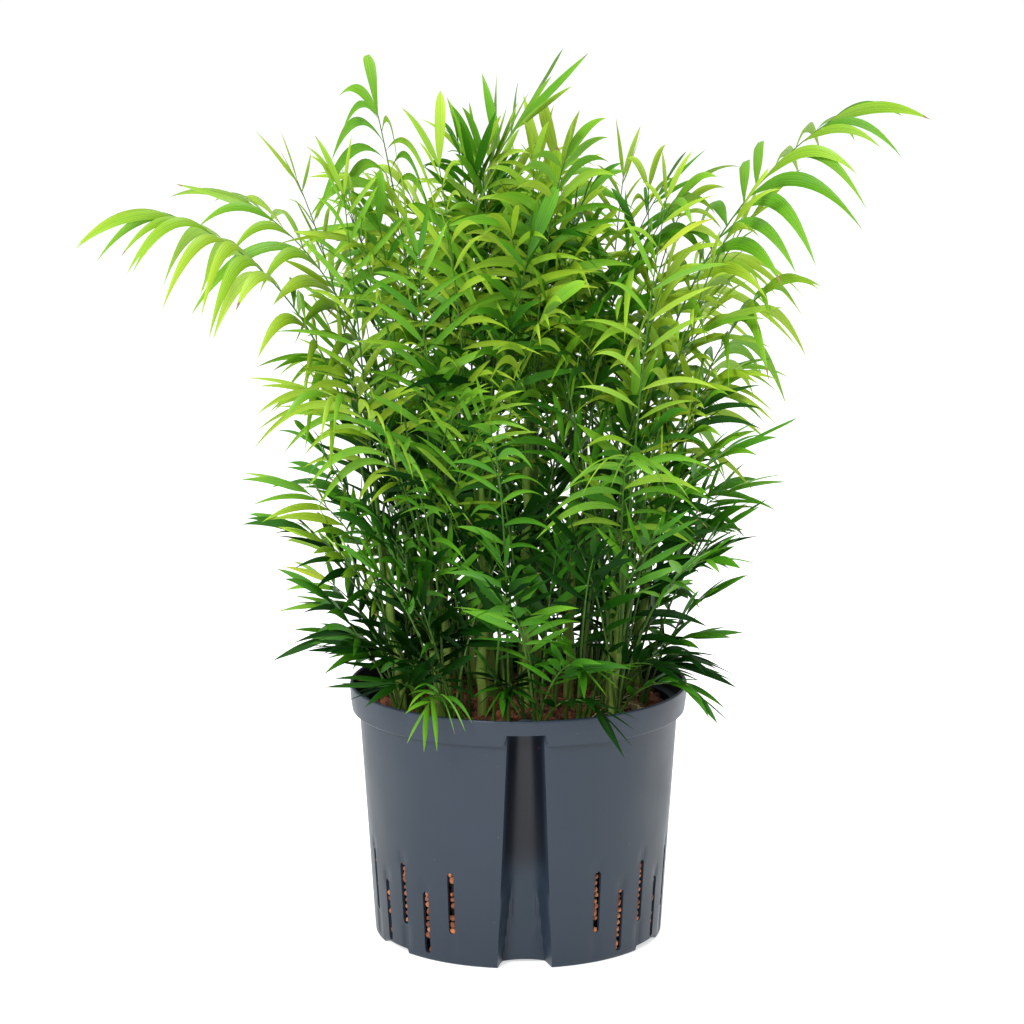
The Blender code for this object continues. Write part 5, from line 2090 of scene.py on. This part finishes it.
@dataclass(frozen=True)
class DryBits:
    """The pale dead strands and curled leaflets that lie on the granules at one side."""

    strands: int = 20
    strand_length: Span = (0.018, 0.046)
    strand_radius: float = 0.00045
    strand_steps: int = 9
    strand_arch: Span = (0.001, 0.009)
    leaves: int = 7
    leaf_length: Span = (0.018, 0.030)
    leaf_width: float = 0.16
    middle: Span = (0.082, -0.016)
    scatter: float = 0.020
    widest: float = 0.108
    lift: Span = (0.0035, 0.0075)
    strand_bow: Span = (-0.2, 0.2)
    strand_thinning: float = 0.6
    leaf_rise: Span = (0.0, 0.25)
    leaf_inward: float = 0.8
    leaf_curl: float = 0.2
    leaf_twist: Span = (-2.5, 2.5)
    seed: int = 83

    def spot(self, chance: Random) -> np.ndarray:
        """Draw a spot on top of the granules.

        Args:
            chance: the seeded source of the draw.

        Returns:
            The spot.
        """
        while True:
            x = self.middle[0] + chance.gauss(0.0, self.scatter)
            y = self.middle[1] + chance.gauss(0.0, self.scatter)
            if hypot(x, y) < self.widest:
                return np.array((x, y, CLAY_TOP + chance.uniform(*self.lift)))

    def strand(self, chance: Random) -> Track:
        """Work out one strand, arched between two spots on the granules.

        Args:
            chance: the seeded source of its place.

        Returns:
            Its points and its radius at each.
        """
        start = self.spot(chance)
        length, turn = chance.uniform(*self.strand_length), chance.uniform(0.0, tau)
        end = start + np.array((cos(turn), sin(turn), 0.0)) * length
        end[:2] *= min(1.0, self.widest / np.linalg.norm(end[:2]))
        arch, side = chance.uniform(*self.strand_arch), chance.uniform(*self.strand_bow) * length
        aside = np.cross(UP, unit(end - start)) * side
        shares = np.linspace(0.0, 1.0, self.strand_steps)
        hump = np.sin(shares * pi)[:, None]
        points = start + (end - start) * shares[:, None] + hump * (UP * arch + aside)
        return points, self.strand_radius * (1.0 - self.strand_thinning * shares)

    def leaf(self, chance: Random) -> Leaflet:
        """Lay one curled dead leaflet on the granules.

        Args:
            chance: the seeded source of its place and shape.

        Returns:
            The leaflet.
        """
        length, turn = chance.uniform(*self.leaf_length), chance.uniform(0.0, tau)
        aim = np.array((cos(turn), sin(turn), chance.uniform(*self.leaf_rise)))
        root = self.spot(chance)
        inward = -root * np.array((1.0, 1.0, 0.0))
        aim = unit(aim + unit(inward) * self.leaf_inward) * length
        across = unit(np.cross(UP, aim))
        face = np.cross(unit(aim), across)
        half = length * self.leaf_width / 2
        return Leaflet(root, aim, across * half, face * half, UP * length * self.leaf_curl,
                       chance.uniform(*self.leaf_twist), blunt=0.0, tone=0, dry_from=NEVER_DRY)

    def build(self) -> None:
        """Make the strands and the leaflets and hang them on the frame."""
        chance = Random(self.seed)
        tube, shape = TubeShape(5), LeafletShape()
        strands = [self.strand(chance) for _ in range(self.strands)]
        piece = tube.sweep("dry_strands", strands, tube.tree("strands", material_of(DRY_STEM)))
        place_piece(piece)
        leaves = [self.leaf(chance) for _ in range(self.leaves)]
        dry = material_of(LeafTone.DRY.value)
        place_piece(shape.grow("dry_leaflets", leaves, shape.tree([dry])))


@dataclass(frozen=True)
class Studio:
    """A plain pale floor, soft light and the viewpoint of the photograph."""

    azimuth: float = -2.4
    elevation: float = 11.48
    distance: float = 3.060
    aim_height: float = 0.317
    aside: float = -0.0048
    focal_pixels: float = 4157.0
    image_pixels: int = 1024
    sensor: float = 36.0
    floor_size: float = 14.0
    floor_drop: float = 0.0002
    floor_glow: float = 0.58
    world_light: float = 0.54
    world_seen: float = 1.02
    floor_white: float = 0.86
    floor_roughness: float = 0.9

    def light(self, name: str, place: Sequence[float], size: float, power: float) -> None:
        """Add a square soft light.

        Args:
            name: the light's name.
            place: where it hangs, aimed at the plant's middle.
            size: its side.
            power: its power in watts.
        """
        data = bpy.data.lights.new(name, "AREA")
        data.size, data.energy = size, power
        lamp = linked(name, data)
        lamp.location = place
        aim = Vector((0.0, 0.0, self.aim_height)) - Vector(place)
        lamp.rotation_euler = aim.to_track_quat("-Z", "Y").to_euler()

    def floor(self) -> None:
        """Lay the floor."""
        material, net, shader = shader_net("floor_paper")
        net.fill(shader, {
            "Base Color": (self.floor_white,) * 3, "Roughness": self.floor_roughness,
            "Emission Color": (1.0,) * 3, "Emission Strength": self.floor_glow})
        half = self.floor_size / 2
        corners = [(x * half, y * half, -self.floor_drop) for x, y in ((-1, -1), (1, -1), (1, 1), (-1, 1))]
        mesh = bpy.data.meshes.new("floor")
        mesh.from_pydata(corners, [], [(0, 1, 2, 3)])
        mesh.materials.append(material)
        linked("floor", mesh)

    def camera(self) -> None:
        """Set the camera at the photograph's angle."""
        tilt, right = radians(self.elevation), compass(self.azimuth)
        back = UP * sin(tilt) - np.cross(UP, right) * cos(tilt)
        data = bpy.data.cameras.new("camera")
        data.sensor_width = self.sensor
        data.lens = self.focal_pixels / self.image_pixels * self.sensor
        camera = linked("camera", data)
        camera.location = right * self.aside + UP * self.aim_height + back * self.distance
        camera.rotation_euler = Vector(-back).to_track_quat("-Z", "Y").to_euler()
        bpy.context.scene.camera = camera

    def build(self) -> None:
        """Set up floor, light and camera."""
        scene = bpy.context.scene
        scene.view_settings.view_transform = "Standard"
        world = bpy.data.worlds.new("studio")
        world.use_nodes = True
        net = Net(world.node_tree)
        seen = net.get("ShaderNodeLightPath", out="Is Camera Ray")
        strength = net.ranged(seen, (0.0, 1.0), (self.world_light, self.world_seen))
        net.fill(world.node_tree.nodes["Background"], {"Color": (1.0,) * 3, "Strength": strength})
        scene.world = world
        self.light("key", (-1.4, -2.6, 1.9), 0.9, 84.0)
        self.light("overhead", (0.4, 0.3, 2.6), 1.4, 46.0)
        self.floor()
        self.camera()


def main() -> None:
    """Build the studio, the pot with its fill and dry bits, the canes and the foliage, in that order."""
    logging.basicConfig(level=logging.INFO, format="%(message)s")
    Studio().build()
    pot = Pot()
    pot.build()
    ClayFill(pot).build()
    DryBits().build()
    Canes().build()
    Foliage().build()


if __name__ == "__main__":
    main()
